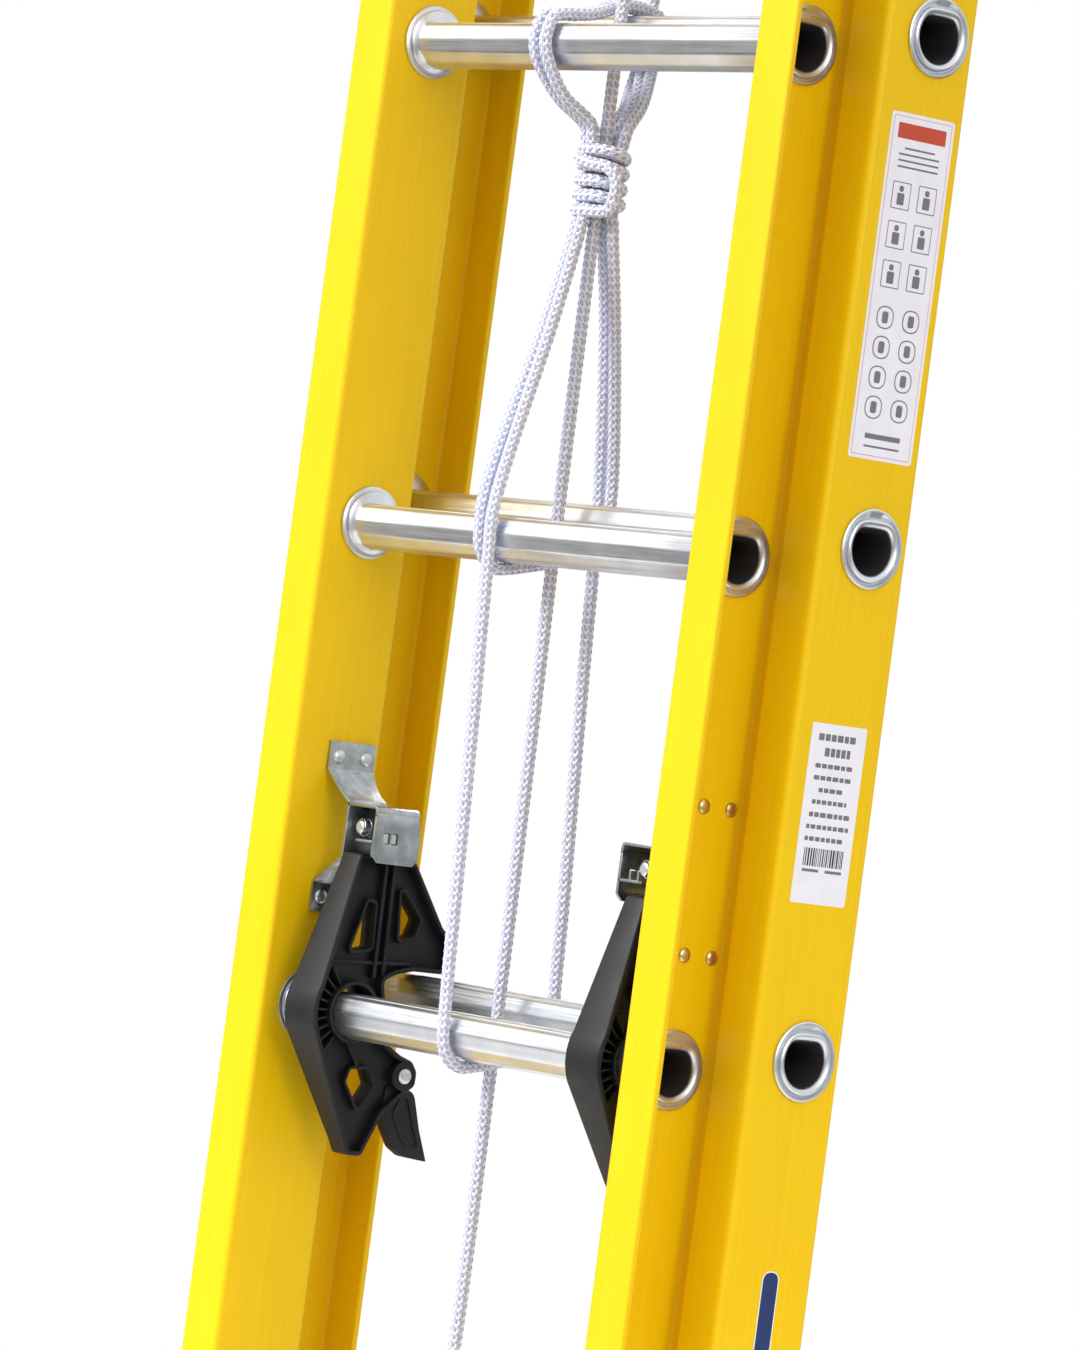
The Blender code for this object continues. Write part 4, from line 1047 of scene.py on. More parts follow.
class NodeTool:
    """A Geometry Nodes tree built in code, run once and turned to a plain mesh."""

    title = "tool"

    def __init__(self) -> None:
        """Make the empty tree."""
        self.tree = bpy.data.node_groups.new(self.title, "GeometryNodeTree")
        self.tree.interface.new_socket(name="Geometry", in_out="INPUT", socket_type="NodeSocketGeometry")
        self.entry = self.tree.nodes.new("NodeGroupInput")
        self.names: dict[str, str] = {}

    def size(self, name: str, kind: str = "NodeSocketFloat") -> bpy.types.NodeSocket:
        """Add a named input and give its socket inside the tree."""
        made = self.tree.interface.new_socket(name=name, in_out="INPUT", socket_type=kind)
        self.names[name] = made.identifier
        return self.entry.outputs[name]

    def close(self, geometry: bpy.types.NodeSocket, look: bpy.types.NodeSocket) -> None:
        """End the tree with real meshes and a material."""
        self.tree.interface.new_socket(name="Geometry", in_out="OUTPUT", socket_type="NodeSocketGeometry")
        real = add_node(self.tree, "GeometryNodeRealizeInstances", {"Geometry": geometry})
        dressed = add_node(self.tree, "GeometryNodeSetMaterial", {"Geometry": real.outputs[0], "Material": look})
        add_node(self.tree, "NodeGroupOutput", {"Geometry": dressed.outputs[0]})

    def run(
        self, name: str, verts: Iterable[Point3], edges: Iterable[tuple[int, int]], values: dict,
        look: bpy.types.Material
    ) -> bpy.types.Object:
        """Run the tree on a few points and edges.

        Args:
            name: the piece's name.
            verts: the points it starts from.
            edges: edges between them.
            values: input name to value.
            look: the piece's material.

        Returns:
            The finished object, with a plain mesh.
        """
        data = bpy.data.meshes.new(name)
        data.from_pydata(list(verts), list(edges), [])
        obj = bpy.data.objects.new(name, data)
        bpy.context.scene.collection.objects.link(obj)
        step = obj.modifiers.new(self.title, "NODES")
        step.node_group = self.tree
        for label, value in values.items():
            step[self.names[label]] = value
        settle(obj)
        if not obj.data.materials:
            obj.data.materials.append(look)
        obj.data.shade_smooth()
        obj.data.set_sharp_from_angle(angle=math.radians(50))
        return obj


class HeadsOnPoints(NodeTool):
    """Puts one head on each point."""

    title = "fastener heads"

    def build(
        self, name: str, places: Sequence[Point3], seed: bpy.types.Object, look: bpy.types.Material
    ) -> bpy.types.Object:
        """Build the heads and remove the one that they copy."""
        head, dress = self.size("Head", "NodeSocketObject"), self.size("Material", "NodeSocketMaterial")
        info = add_node(self.tree, "GeometryNodeObjectInfo", {"Object": head}, {"As Instance": True})
        points = add_node(self.tree, "GeometryNodeMeshToPoints", {"Mesh": self.entry.outputs["Geometry"]})
        copies = add_node(
            self.tree, "GeometryNodeInstanceOnPoints",
            {"Points": points.outputs[0], "Instance": info.outputs["Geometry"]}
        )
        self.close(copies.outputs[0], dress)
        made = self.run(name, places, [], {"Head": seed, "Material": look}, look)
        bpy.data.objects.remove(seed, do_unlink=True)
        return made


class CoilSpring(NodeTool):
    """Winds a wire spring along Y."""

    title = "coil spring"

    def build(
        self, name: str, centre: Vector, length: float, radius: float, turns: int, look: bpy.types.Material
    ) -> bpy.types.Object:
        """Build the spring between two ends, about its middle."""
        sizes = {n: self.size(n) for n in ("Length", "Radius", "Turns", "Wire")}
        shift, dress = self.size("Start", "NodeSocketVector"), self.size("Material", "NodeSocketMaterial")
        links = {
            "Height": sizes["Length"], "Start Radius": sizes["Radius"], "End Radius": sizes["Radius"],
            "Rotations": sizes["Turns"]
        }
        coil = add_node(self.tree, "GeometryNodeCurveSpiral", links, {"Resolution": 20})
        wire = add_node(self.tree, "GeometryNodeCurvePrimitiveCircle", {"Radius": sizes["Wire"]}, {"Resolution": 8})
        tube = add_node(
            self.tree, "GeometryNodeCurveToMesh", {"Curve": coil.outputs[0], "Profile Curve": wire.outputs[0]},
            {"Fill Caps": True}
        )
        laid = add_node(
            self.tree, "GeometryNodeTransform", {"Geometry": tube.outputs[0], "Translation": shift},
            {"Rotation": (-math.pi / 2, 0, 0)}
        )
        self.close(laid.outputs[0], dress)
        start = tuple(centre - Vector((0, length / 2, 0)))
        values = {
            "Length": length, "Radius": radius, "Turns": float(turns), "Wire": 0.85 * MM, "Start": start,
            "Material": look
        }
        return self.run(name, [(0, 0, 0)], [], values, look)


class Braid(NodeTool):
    """Lays plaited yarns along a path, row by row, round a plain core."""

    title = "braid along a path"

    def __init__(self, radius_mm: float = 4.0, row_mm: float = 2.35, yarns: int = 6) -> None:
        """Build the tree and the two rows of yarns that it repeats.

        Args:
            radius_mm: the rope's radius over its yarns.
            row_mm: distance between rows.
            yarns: yarns that show in one row.
        """
        super().__init__()
        self.radius, self.row, self.yarns = radius_mm * MM, row_mm * MM, yarns
        pitch, core = self.size("Row pitch"), self.size("Core radius")
        turn = self.size("Row turn")
        left, right = self.size("Left row", "NodeSocketObject"), self.size("Right row", "NodeSocketObject")
        dress = self.size("Material", "NodeSocketMaterial")
        path = add_node(self.tree, "GeometryNodeMeshToCurve", {"Mesh": self.entry.outputs["Geometry"]})
        rows = add_node(
            self.tree, "GeometryNodeCurveToPoints", {"Curve": path.outputs[0], "Length": pitch}, mode="LENGTH"
        )
        index = add_node(self.tree, "GeometryNodeInputIndex").outputs[0]
        angle = add_node(self.tree, "ShaderNodeMath", {0: index, 1: turn}, operation="MULTIPLY").outputs[0]
        euler = add_node(self.tree, "ShaderNodeCombineXYZ", {"Z": angle}).outputs[0]
        twist = add_node(self.tree, "FunctionNodeEulerToRotation", {0: euler}).outputs[0]
        facing = add_node(
            self.tree, "FunctionNodeRotateRotation", {0: rows.outputs["Rotation"], 1: twist}, rotation_space="LOCAL"
        )
        kinds = add_node(self.tree, "GeometryNodeJoinGeometry")
        for row in (left, right):
            info = add_node(self.tree, "GeometryNodeObjectInfo", {"Object": row}, {"As Instance": True})
            self.tree.links.new(info.outputs["Geometry"], kinds.inputs[0])
        which = add_node(self.tree, "ShaderNodeMath", {0: index}, {1: 2.0}, operation="MODULO").outputs[0]
        links = {
            "Points": rows.outputs["Points"], "Instance": kinds.outputs[0], "Instance Index": which,
            "Rotation": facing.outputs[0]
        }
        plait = add_node(self.tree, "GeometryNodeInstanceOnPoints", links, {"Pick Instance": True})
        ring = add_node(self.tree, "GeometryNodeCurvePrimitiveCircle", {"Radius": core}, {"Resolution": 10})
        heart = add_node(
            self.tree, "GeometryNodeCurveToMesh", {"Curve": path.outputs[0], "Profile Curve": ring.outputs[0]},
            {"Fill Caps": True}
        )
        whole = add_node(self.tree, "GeometryNodeJoinGeometry")
        for part in (plait.outputs[0], heart.outputs[0]):
            self.tree.links.new(part, whole.inputs[0])
        self.close(whole.outputs[0], dress)
        self.rows = [self.yarn_row(name, slant) for name, slant in (("yarns_left", 33.0), ("yarns_right", -33.0))]

    def yarn_row(self, name: str, slant: float) -> bpy.types.Object:
        """Build one row of slanted yarn bumps round the core; those that lean right are the darker yarn."""
        shape = Shape()
        layer = shape.mesh.verts.layers.float.new("tracer")
        long, wide, tall = 2.75 * MM, 1.28 * MM, 0.95 * MM
        sides = 7
        for k in range(self.yarns):
            turn = 2 * math.pi * k / self.yarns
            shade = (0.62 if slant < 0 else 0.05) + 0.05 * ((k * 5) % 3)
            rings = []
            for share, up in ((1.0, -0.25), (0.72, 0.72), (0.3, 1.0)):
                ring = []
                for i in range(sides):
                    a = 2 * math.pi * i / sides
                    along, across = long * share * math.cos(a), wide * share * math.sin(a)
                    c, s = math.cos(math.radians(slant)), math.sin(math.radians(slant))
                    z, t = along * c - across * s, along * s + across * c
                    out = self.radius - tall + tall * up
                    spin = turn + t / self.radius
                    ring.append((out * math.cos(spin), out * math.sin(spin), z))
                rings.append(ring)
            before = len(shape.mesh.verts)
            shape.loft(rings)
            shape.mesh.verts.ensure_lookup_table()
            for vert in shape.mesh.verts[before:]:
                vert[layer] = shade
        row = shape.to_object(name)
        return row

    def lay(self, name: str, path: Sequence[Vector], look: bpy.types.Material) -> bpy.types.Object:
        """Lay the braid along a path.

        Args:
            name: the piece's name.
            path: the rope's middle line, as close points.
            look: its material.

        Returns:
            The rope as one object.
        """
        values = {
            "Row pitch": self.row, "Core radius": self.radius - 0.75 * MM, "Row turn": math.pi / self.yarns,
            "Left row": self.rows[0], "Right row": self.rows[1], "Material": look,
        }
        edges = [(i, i + 1) for i in range(len(path) - 1)]
        return self.run(name, [tuple(p) for p in path], edges, values, look)

    def clear(self) -> None:
        """Remove the rows of yarns that were only patterns."""
        for row in self.rows:
            bpy.data.objects.remove(row, do_unlink=True)


# ---------------------------------------------------------------- rope and lashing


def smooth_path(route: Sequence[Sequence[float]], step_mm: float = 2.5) -> list[Vector]:
    """Give close points along a centripetal Catmull-Rom curve through a route.

    Args:
        route: the points that the curve passes through.
        step_mm: distance between the points given.

    Returns:
        The curve's points.
    """
    points = [Vector(p) for p in route]
    ends = [2 * points[0] - points[1]] + points + [2 * points[-1] - points[-2]]
    path = [points[0]]
    for a, b, c, d in zip(ends, ends[1:], ends[2:], ends[3:]):
        steps = max(1, round((c - b).length / (step_mm * MM)))
        t0 = 0.0
        t1 = max((b - a).length, 1e-6) ** 0.5
        t2 = t1 + max((c - b).length, 1e-6) ** 0.5
        t3 = t2 + max((d - c).length, 1e-6) ** 0.5
        for i in range(1, steps + 1):
            t = t1 + (t2 - t1) * i / steps
            ab = (a * (t1 - t) + b * (t - t0)) / (t1 - t0)
            bc = (b * (t2 - t) + c * (t - t1)) / (t2 - t1)
            cd = (c * (t3 - t) + d * (t - t2)) / (t3 - t2)
            low = (ab * (t2 - t) + bc * (t - t0)) / (t2 - t0)
            high = (bc * (t3 - t) + cd * (t - t1)) / (t3 - t1)
            path.append((low * (t2 - t) + high * (t - t1)) / (t2 - t1))
    return path


@dataclass
class Lashing:
    """One rope: hitched on the fly, over the pulley, then lashed round both sections."""

    datum: Datum
    knot_x_mm: float = -29.5
    wrap_wide_mm: float = 15.0
    wrap_deep_mm: float = 11.0
    wraps: float = 4.3
    laid_mm: float = 0.0

    def __post_init__(self) -> None:
        """Read the places that the rope passes."""
        low, high = box_of("rope_knot")
        self.knot = (low + high) / 2
        self.knot.x = self.knot_x_mm * MM
        self.top, self.low = high.z, low.z
        wheel_low, wheel_high = box_of("pulley_wheel")
        self.wheel = (wheel_low + wheel_high) / 2
        rung = 16.5 * MM
        self.hoist_y = (self.datum.fly_y + self.datum.base_y) / 2
        self.fall_y = self.datum.base_y + rung + 7 * MM
        self.turn = (self.fall_y - self.hoist_y) / 2

    def hug(self, gap_mm: float) -> float:
        """Distance from a rung's axis to a rope that bends round it."""
        return (20.5 + gap_mm) * MM

    def beside(self, across: float, back: float, up: float = 0.0) -> Point3:
        """A point beside the knot's top or, with a negative height, its underside."""
        level = self.top if up >= 0 else self.low
        return (self.knot.x + across * MM, self.hoist_y + (1 + back) * MM, level + up * MM)

    def into_top(self, across: float, back: float) -> list[Point3]:
        """The end of a strand that enters the knot from above, as far as its middle."""
        inner = (self.knot.x + 0.55 * across * MM, self.hoist_y + (1 + 0.5 * back) * MM, self.knot.z + 8 * MM)
        return [self.beside(across, back, 8), self.beside(0.9 * across, 0.9 * back, 0.01), inner]

    def into_low(self, across: float, back: float) -> list[Point3]:
        """The end of a strand that enters the knot from below, as far as its middle."""
        inner = (self.knot.x + 0.55 * across * MM, self.hoist_y + (1 + 0.5 * back) * MM, self.knot.z - 8 * MM)
        return [self.beside(across, back, -8), self.beside(0.9 * across, 0.9 * back, -0.01), inner]

    def round_rung(
        self, y: float, z: float, radius: float, first: float, last: float, steps: int, x0: float, x1: float
    ) -> list[Point3]:
        """Route points round a rung, drifting along X."""
        turned = arc((y, z), radius, first, last, steps)
        return [(x0 + (x1 - x0) * i / steps, v, w) for i, (v, w) in enumerate(turned)]

    def under(self, number: int, front_x: float, gap_x: float, back_x: float) -> list[Point3]:
        """Route points down the front of a fly rung, under both rungs and up behind the base rung."""
        fly, base = self.datum.rung(Section.FLY, number), self.datum.rung(Section.BASE, number)
        near = self.round_rung(*fly, self.hug(0.6), 180, 262, 8, front_x * MM, gap_x * MM)
        return near + self.round_rung(*base, self.hug(0.6), 283, 360, 8, (gap_x - 3) * MM, back_x * MM)

    def over(self, number: int, front_x: float, back_x: float) -> list[Point3]:
        """Route points up the front of a fly rung, over both treads and down behind the base rung."""
        (fy, fz), (by, bz) = self.datum.rung(Section.FLY, number), self.datum.rung(Section.BASE, number)
        hug, high = self.hug(0.4), 16.6 * MM
        half = [
            (0.83 * hug, -0.6 * hug), (1.01 * hug, -0.15 * hug), (0.97 * hug, 0.36 * hug), (0.78 * hug, 0.68 * hug),
            (8 * MM, high)
        ]
        front = [(front_x * MM, fy - away, fz + up) for away, up in half]
        behind = [(back_x * MM, by + away, bz + up) for away, up in reversed(half)]
        between = [
            ((front_x - 1) * MM, fy + 12 * MM, fz + high + 3 * MM), ((back_x + 3) * MM, by - 12 * MM, bz + high)
        ]
        return front + between + behind

    def routes(self) -> dict[str, list[Point3]]:
        """Give the route of every stretch of rope, by its node's name."""
        first_y, first_z = self.datum.rung(Section.FLY, 1)
        lock_z = self.datum.lock[1]
        third_z = self.datum.rung(Section.FLY, 3)[1]
        foot, ply = -22 * MM, self.hug(0.6)
        hitch = self.round_rung(first_y, first_z, ply, 300, 30, 22, foot - 20 * MM, foot - 9.6 * MM)
        hitch += self.round_rung(first_y, first_z, ply, 8, -290, 24, foot - 8.8 * MM, foot)
        hoist = hitch + [
            (foot, self.hoist_y - 5 * MM, first_z + 26 * MM), (foot, self.hoist_y, lock_z - 200 * MM),
            (foot - 1 * MM, self.hoist_y, lock_z + 60 * MM), self.beside(1.5, -1, -150),
        ] + self.into_low(0, -1)
        wheel_x = self.wheel.x
        over_wheel = [(wheel_x, v, w) for v, w in arc((self.wheel.y, self.wheel.z), self.turn, 180, 0, 24)]
        upper = list(reversed(self.into_top(0, -1))) + [
            self.beside(-1, -1, 100), (wheel_x + 2 * MM, self.hoist_y, self.wheel.z - 320 * MM),
            (wheel_x, self.hoist_y, self.wheel.z - 30 * MM),
        ] + over_wheel + [
            (wheel_x, self.fall_y, self.wheel.z - 30 * MM), (wheel_x - 9 * MM, self.fall_y, self.wheel.z - 420 * MM),
            (wheel_x - 25 * MM, self.fall_y, self.top + 110 * MM),
            (wheel_x - 30 * MM, self.fall_y, self.top + 62 * MM),
            (wheel_x - 32 * MM, self.fall_y - 4 * MM, self.top + 38 * MM), self.beside(-21, 26, 20),
            self.beside(-17, 8, 4), self.beside(-15, -1, -4),
        ]
        front_y, back_y = self.datum.fly_y - self.hug(0.6), self.datum.base_y + self.hug(0.6)
        long = list(reversed(self.into_low(-1.5, -11))) + [
            self.beside(-1, -22, -60), (-27 * MM, front_y, third_z + 14 * MM), (-26 * MM, front_y, third_z - 14 * MM),
            (-20 * MM, front_y, lock_z + 190 * MM), (-12 * MM, front_y, lock_z + 40 * MM),
        ] + self.under(2, -9, -10.5, -31) + [
            (-36 * MM, back_y, lock_z + 90 * MM), (-43 * MM, back_y, lock_z + 190 * MM), (-50 * MM, back_y, third_z),
            (-53 * MM, back_y, third_z + 36 * MM), self.beside(-7, 24, -60),
        ] + self.into_low(-2.5, 10)
        short = list(reversed(self.into_low(-10.5, -7))) + [
            self.beside(-9, -20, -60), (-37 * MM, front_y, third_z + 24 * MM)
        ]
        short += self.under(3, -37, -38, -41) + [
            (-42 * MM, back_y, third_z + 44 * MM), self.beside(3, 23, -60)
        ] + self.into_low(8, 8)
        loops = {}
        ends = {1: ((-10.5, -9), -46, (-2.5, 11), -60), 2: ((-1.5, -12), -36, (8, 8), -50)}
        for number, (front, front_x, back, back_x) in ends.items():
            loops[f"rope_top_loop_{number}"] = (
                list(reversed(self.into_top(*front))) + [self.beside(front[0] - 5, front[1] - 21, 23)]
                + self.over(4, front_x, back_x)
                + [self.beside(back[0] - 8, back[1] + 16, 26)] + self.into_top(*back)
            )
        return {
            "rope_hoist_lower": hoist, "rope_hoist_upper": upper, "rope_long_loop": long, "rope_short_loop": short,
            **loops
        }

    def knot_route(self) -> list[Point3]:
        """Give the route of the wraps, the bight at their right and the tucked tail."""
        route = []
        steps = round(self.wraps * 16)
        for i in range(steps + 1):
            turns = self.wraps * i / steps
            turn = math.radians(200) + 2 * math.pi * turns
            front = max(0.0, -math.sin(turn))
            down = 20.5 - 9.3 * turns + 1.6 * math.cos(turn) * front
            across, back = self.wrap_wide_mm * math.cos(turn) * MM, (1 + self.wrap_deep_mm * math.sin(turn)) * MM
            route.append((self.knot.x + across, self.hoist_y + back, self.knot.z + down * MM))
        bight = [
            (17, -7.5, -18.0), (22.5, -8.5, -15), (25.5, -9.0, -6), (24.0, -10, 3), (18.0, -12, 8), (8, -14.6, 9.4),
            (-4, -14.2, 12), (-12, -9, 14)
        ]
        return route[:-1] + [
            (self.knot.x + a * MM, self.hoist_y + (1 + b) * MM, self.knot.z + c * MM) for a, b, c in bight
        ]

    def build(self, looks: Finishes) -> None:
        """Lay every stretch of the rope and tie the knot."""
        braid = Braid()
        for node, route in self.routes().items():
            path = smooth_path(route)
            self.laid_mm += sum((b - a).length for a, b in zip(path, path[1:])) / MM
            if node == "rope_hoist_upper":
                crest = max(range(len(path)), key=lambda i: path[i].z)
                fall, path = path[crest:], path[: crest + 1]
                place_piece(braid.lay("rope_fall_braid", fall, looks.rope), "base", "rope_braid")
            strand = braid.lay(f"{node}_braid", path, looks.rope)
            if node == "rope_hoist_lower":
                start = (path[0].x, self.hoist_y, self.datum.lock[1] - 250 * MM)
                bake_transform(strand)
                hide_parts(node)
                LOG.info("%s: %d faces between both sections", strand.name, len(strand.data.polygons))
            else:
                place_piece(strand, "base", "rope_braid", node)
        path = smooth_path(self.knot_route())
        self.laid_mm += sum((b - a).length for a, b in zip(path, path[1:])) / MM
        place_piece(braid.lay("rope_knot_braid", path, looks.rope), "base", "rope_braid", "rope_knot")
        braid.clear()
        LOG.info("rope laid: %.2f m", self.laid_mm / 1000)


# ---------------------------------------------------------------- pulley


@dataclass
class Pulley:
    """A grooved wheel in a bent steel hanger under the top base rung."""

    datum: Datum
    holes: int = 6

    def build(self, looks: Finishes) -> None:
        """Build the wheel, the hanger and the axle."""
        low, high = box_of("pulley_wheel")
        centre, half, rim = (low + high) / 2, (high.x - low.x) / 2, (high.z - low.z) / 2
        groove = (high.z - centre.z) - 9.4 * MM
        hub = 5.5 * MM
        wheel = Shape()
        profile = [
            (-half, hub), (-half, 9 * MM), (-half + 2.5 * MM, 10.5 * MM), (-half + 2.5 * MM, groove - 3 * MM),
            (-half + 0.4 * MM, groove - 1 * MM)
        ]
        profile += [(-half, rim - 0.8 * MM), (-half + 0.6 * MM, rim), (-half + 1.6 * MM, rim - 0.1 * MM)]
        profile += [
            (-4.3 * MM, groove + 4.6 * MM), (-3.4 * MM, groove + 1.6 * MM), (-1.7 * MM, groove + 0.35 * MM),
            (0.0, groove)
        ]
        profile += [(-a, r) for a, r in reversed(profile[:-1])]
        wheel.turned(profile, centre.x, centre.y, centre.z, 64, closed=True)
        made = wheel.to_object("pulley_wheel_sheave", looks.wheel_nylon, bevel_mm=0.3)
        place_piece(made, "wheel", "wheel_nylon", "pulley_wheel")
        hanger = Shape()
        hanger.copy_of("pulley_hanger")
        place_piece(
            hanger.to_object("pulley_hanger_strap", looks.zinc, bevel_mm=0.5), "base", "zinc_steel", "pulley_hanger"
        )
        axle = Shape()
        a_low, a_high = box_of("pulley_axle")
        reach, head = (a_high.x - a_low.x) / 2, (a_high.z - a_low.z) / 2
        dome = [
            (reach - 2 * MM, head), (reach - 1.3 * MM, head), (reach - 0.5 * MM, 0.8 * head), (reach, 0.4 * head),
            (reach + 0.1 * MM, 0.05 * MM)
        ]
        body = [(-a, r) for a, r in reversed(dome)] + [(-reach + 2 * MM, 5 * MM), (reach - 2 * MM, 5 * MM)] + dome
        axle.turned(body, centre.x, centre.y, centre.z, 36)
        place_piece(axle.to_object("pulley_axle_rivet", looks.zinc), "base", "zinc_steel", "pulley_axle")


# ---------------------------------------------------------------- shoes, guides and caps


@dataclass
class Shoe:
    """A swivel shoe: a folded fork on a bolt, over a ribbed rubber pad."""

    word: str
    datum: Datum
    rib_mm: float = 8.0

    def build(self, looks: Finishes) -> None:
        """Build the fork, the pad and the bolt."""
        fork = Shape()
        fork.copy_of(f"shoe_{self.word}")
        place_piece(
            fork.to_object(f"shoe_{self.word}_fork", looks.cast, bevel_mm=0.7), f"shoe_{self.word}", "shoe_aluminium",
            f"shoe_{self.word}"
        )
        low, high = box_of(f"shoe_pad_{self.word}")
        pad = Shape()
        outline = rounded([(low.x, low.y), (high.x, low.y), (high.x, high.y), (low.x, high.y)], 3 * MM, 4)
        pad.prism(outline, low.z + 3 * MM, high.z)
        ribs = int((high.y - low.y) // (self.rib_mm * MM))
        pitch = (high.y - low.y) / ribs
        for i in range(ribs):
            start, end = low.y + (i + 0.14) * pitch, low.y + (i + 0.86) * pitch
            left, right = low.x + 0.6 * MM, high.x - 0.6 * MM
            rib = [(left, start), (right, start), (right, end), (left, end)]
            pad.prism(rounded(rib, 0.8 * MM, 2), low.z, low.z + 4 * MM)
        place_piece(
            pad.to_object(f"shoe_pad_{self.word}_sole", looks.rubber, bevel_mm=0.4), f"shoe_{self.word}",
            "pad_rubber", f"shoe_pad_{self.word}"
        )
        self.build_bolt(looks)

    def build_bolt(self, looks: Finishes) -> None:
        """Build the bolt: a six-sided head, a washer and a nut."""
        low, high = box_of(f"shoe_bolt_{self.word}")
        centre = (low + high) / 2
        across = (high.z - low.z) / 2
        bolt = Shape()
        hexagon = rounded(arc((centre.y, centre.z), across, 0, 300, 5), 0.5 * MM, 2)
        bolt.prism(hexagon, low.x, low.x + 5.2 * MM, "X")
        bolt.prism(hexagon, high.x - 4.4 * MM, high.x, "X")
        for x in (low.x + 5.2 * MM, high.x - 5.6 * MM):
            bolt.turned([(0, across), (1.2 * MM, across)], x, centre.y, centre.z, 32)
        bolt.turned(
            [(-(high.x - low.x) / 2 + 5 * MM, 5 * MM), ((high.x - low.x) / 2 - 5 * MM, 5 * MM)], centre.x, centre.y,
            centre.z, 24
        )
        place_piece(
            bolt.to_object(f"shoe_bolt_{self.word}_hex", looks.zinc, bevel_mm=0.35), "base", "zinc_steel",
            f"shoe_bolt_{self.word}"
        )


@dataclass
class Trim:
    """A moulded guide block or end cap, with its edges eased."""

    node: str
    body: str

    def build(self, looks: Finishes) -> None:
        """Build the moulding."""
        shape = Shape()
        shape.copy_of(self.node)
        made = shape.to_object(f"{self.node}_moulding", looks.cap_nylon, bevel_mm=0.7)
        place_piece(made, self.body, "guide_plastic", self.node)


# ---------------------------------------------------------------- labels


@dataclass
class Label:
    """A vinyl label on the base rail's outer face, with plain printed marks."""

    datum: Datum
    corner: Point2
    film_mm: float = 0.22

    def __post_init__(self) -> None:
        """Start the sheet of marks."""
        self.shape = Shape()
        self.face = self.datum.base_out

    def mark(
        self, left: float, low: float, wide: float, tall: float, slot: int, lift: int = 1, radius: float = 0.3,
        steps: int = 2
    ) -> None:
        """Add a printed mark.

        Args:
            left: millimetres from the label's left edge.
            low: millimetres from its lower edge.
            wide: width in millimetres.
            tall: height in millimetres.
            slot: material slot of its ink.
            lift: layer over the film.
            radius: radius of its corners in millimetres.
            steps: straight pieces in each corner.
        """
        y, z = self.corner[0] + left * MM, self.corner[1] + low * MM
        corners = [(y, z), (y + wide * MM, z), (y + wide * MM, z + tall * MM), (y, z + tall * MM)]
        outline = rounded(corners, radius * MM, steps)
        start = self.face + 0.02 * MM
        self.shape.prism(outline, start, self.face + (self.film_mm + 0.05 * lift) * MM, "X", slot)

    def disc(self, left: float, low: float, size: float, slot: int, lift: int = 1) -> None:
        """Add a round printed mark."""
        self.mark(left, low, size, size, slot, lift, 0.495 * size, 6)

    def finish(self, name: str, *materials: bpy.types.Material) -> None:
        """Turn the sheet into a piece on the base."""
        label = self.shape.to_object(name, *materials)
        place_piece(label, "base", "fibreglass")


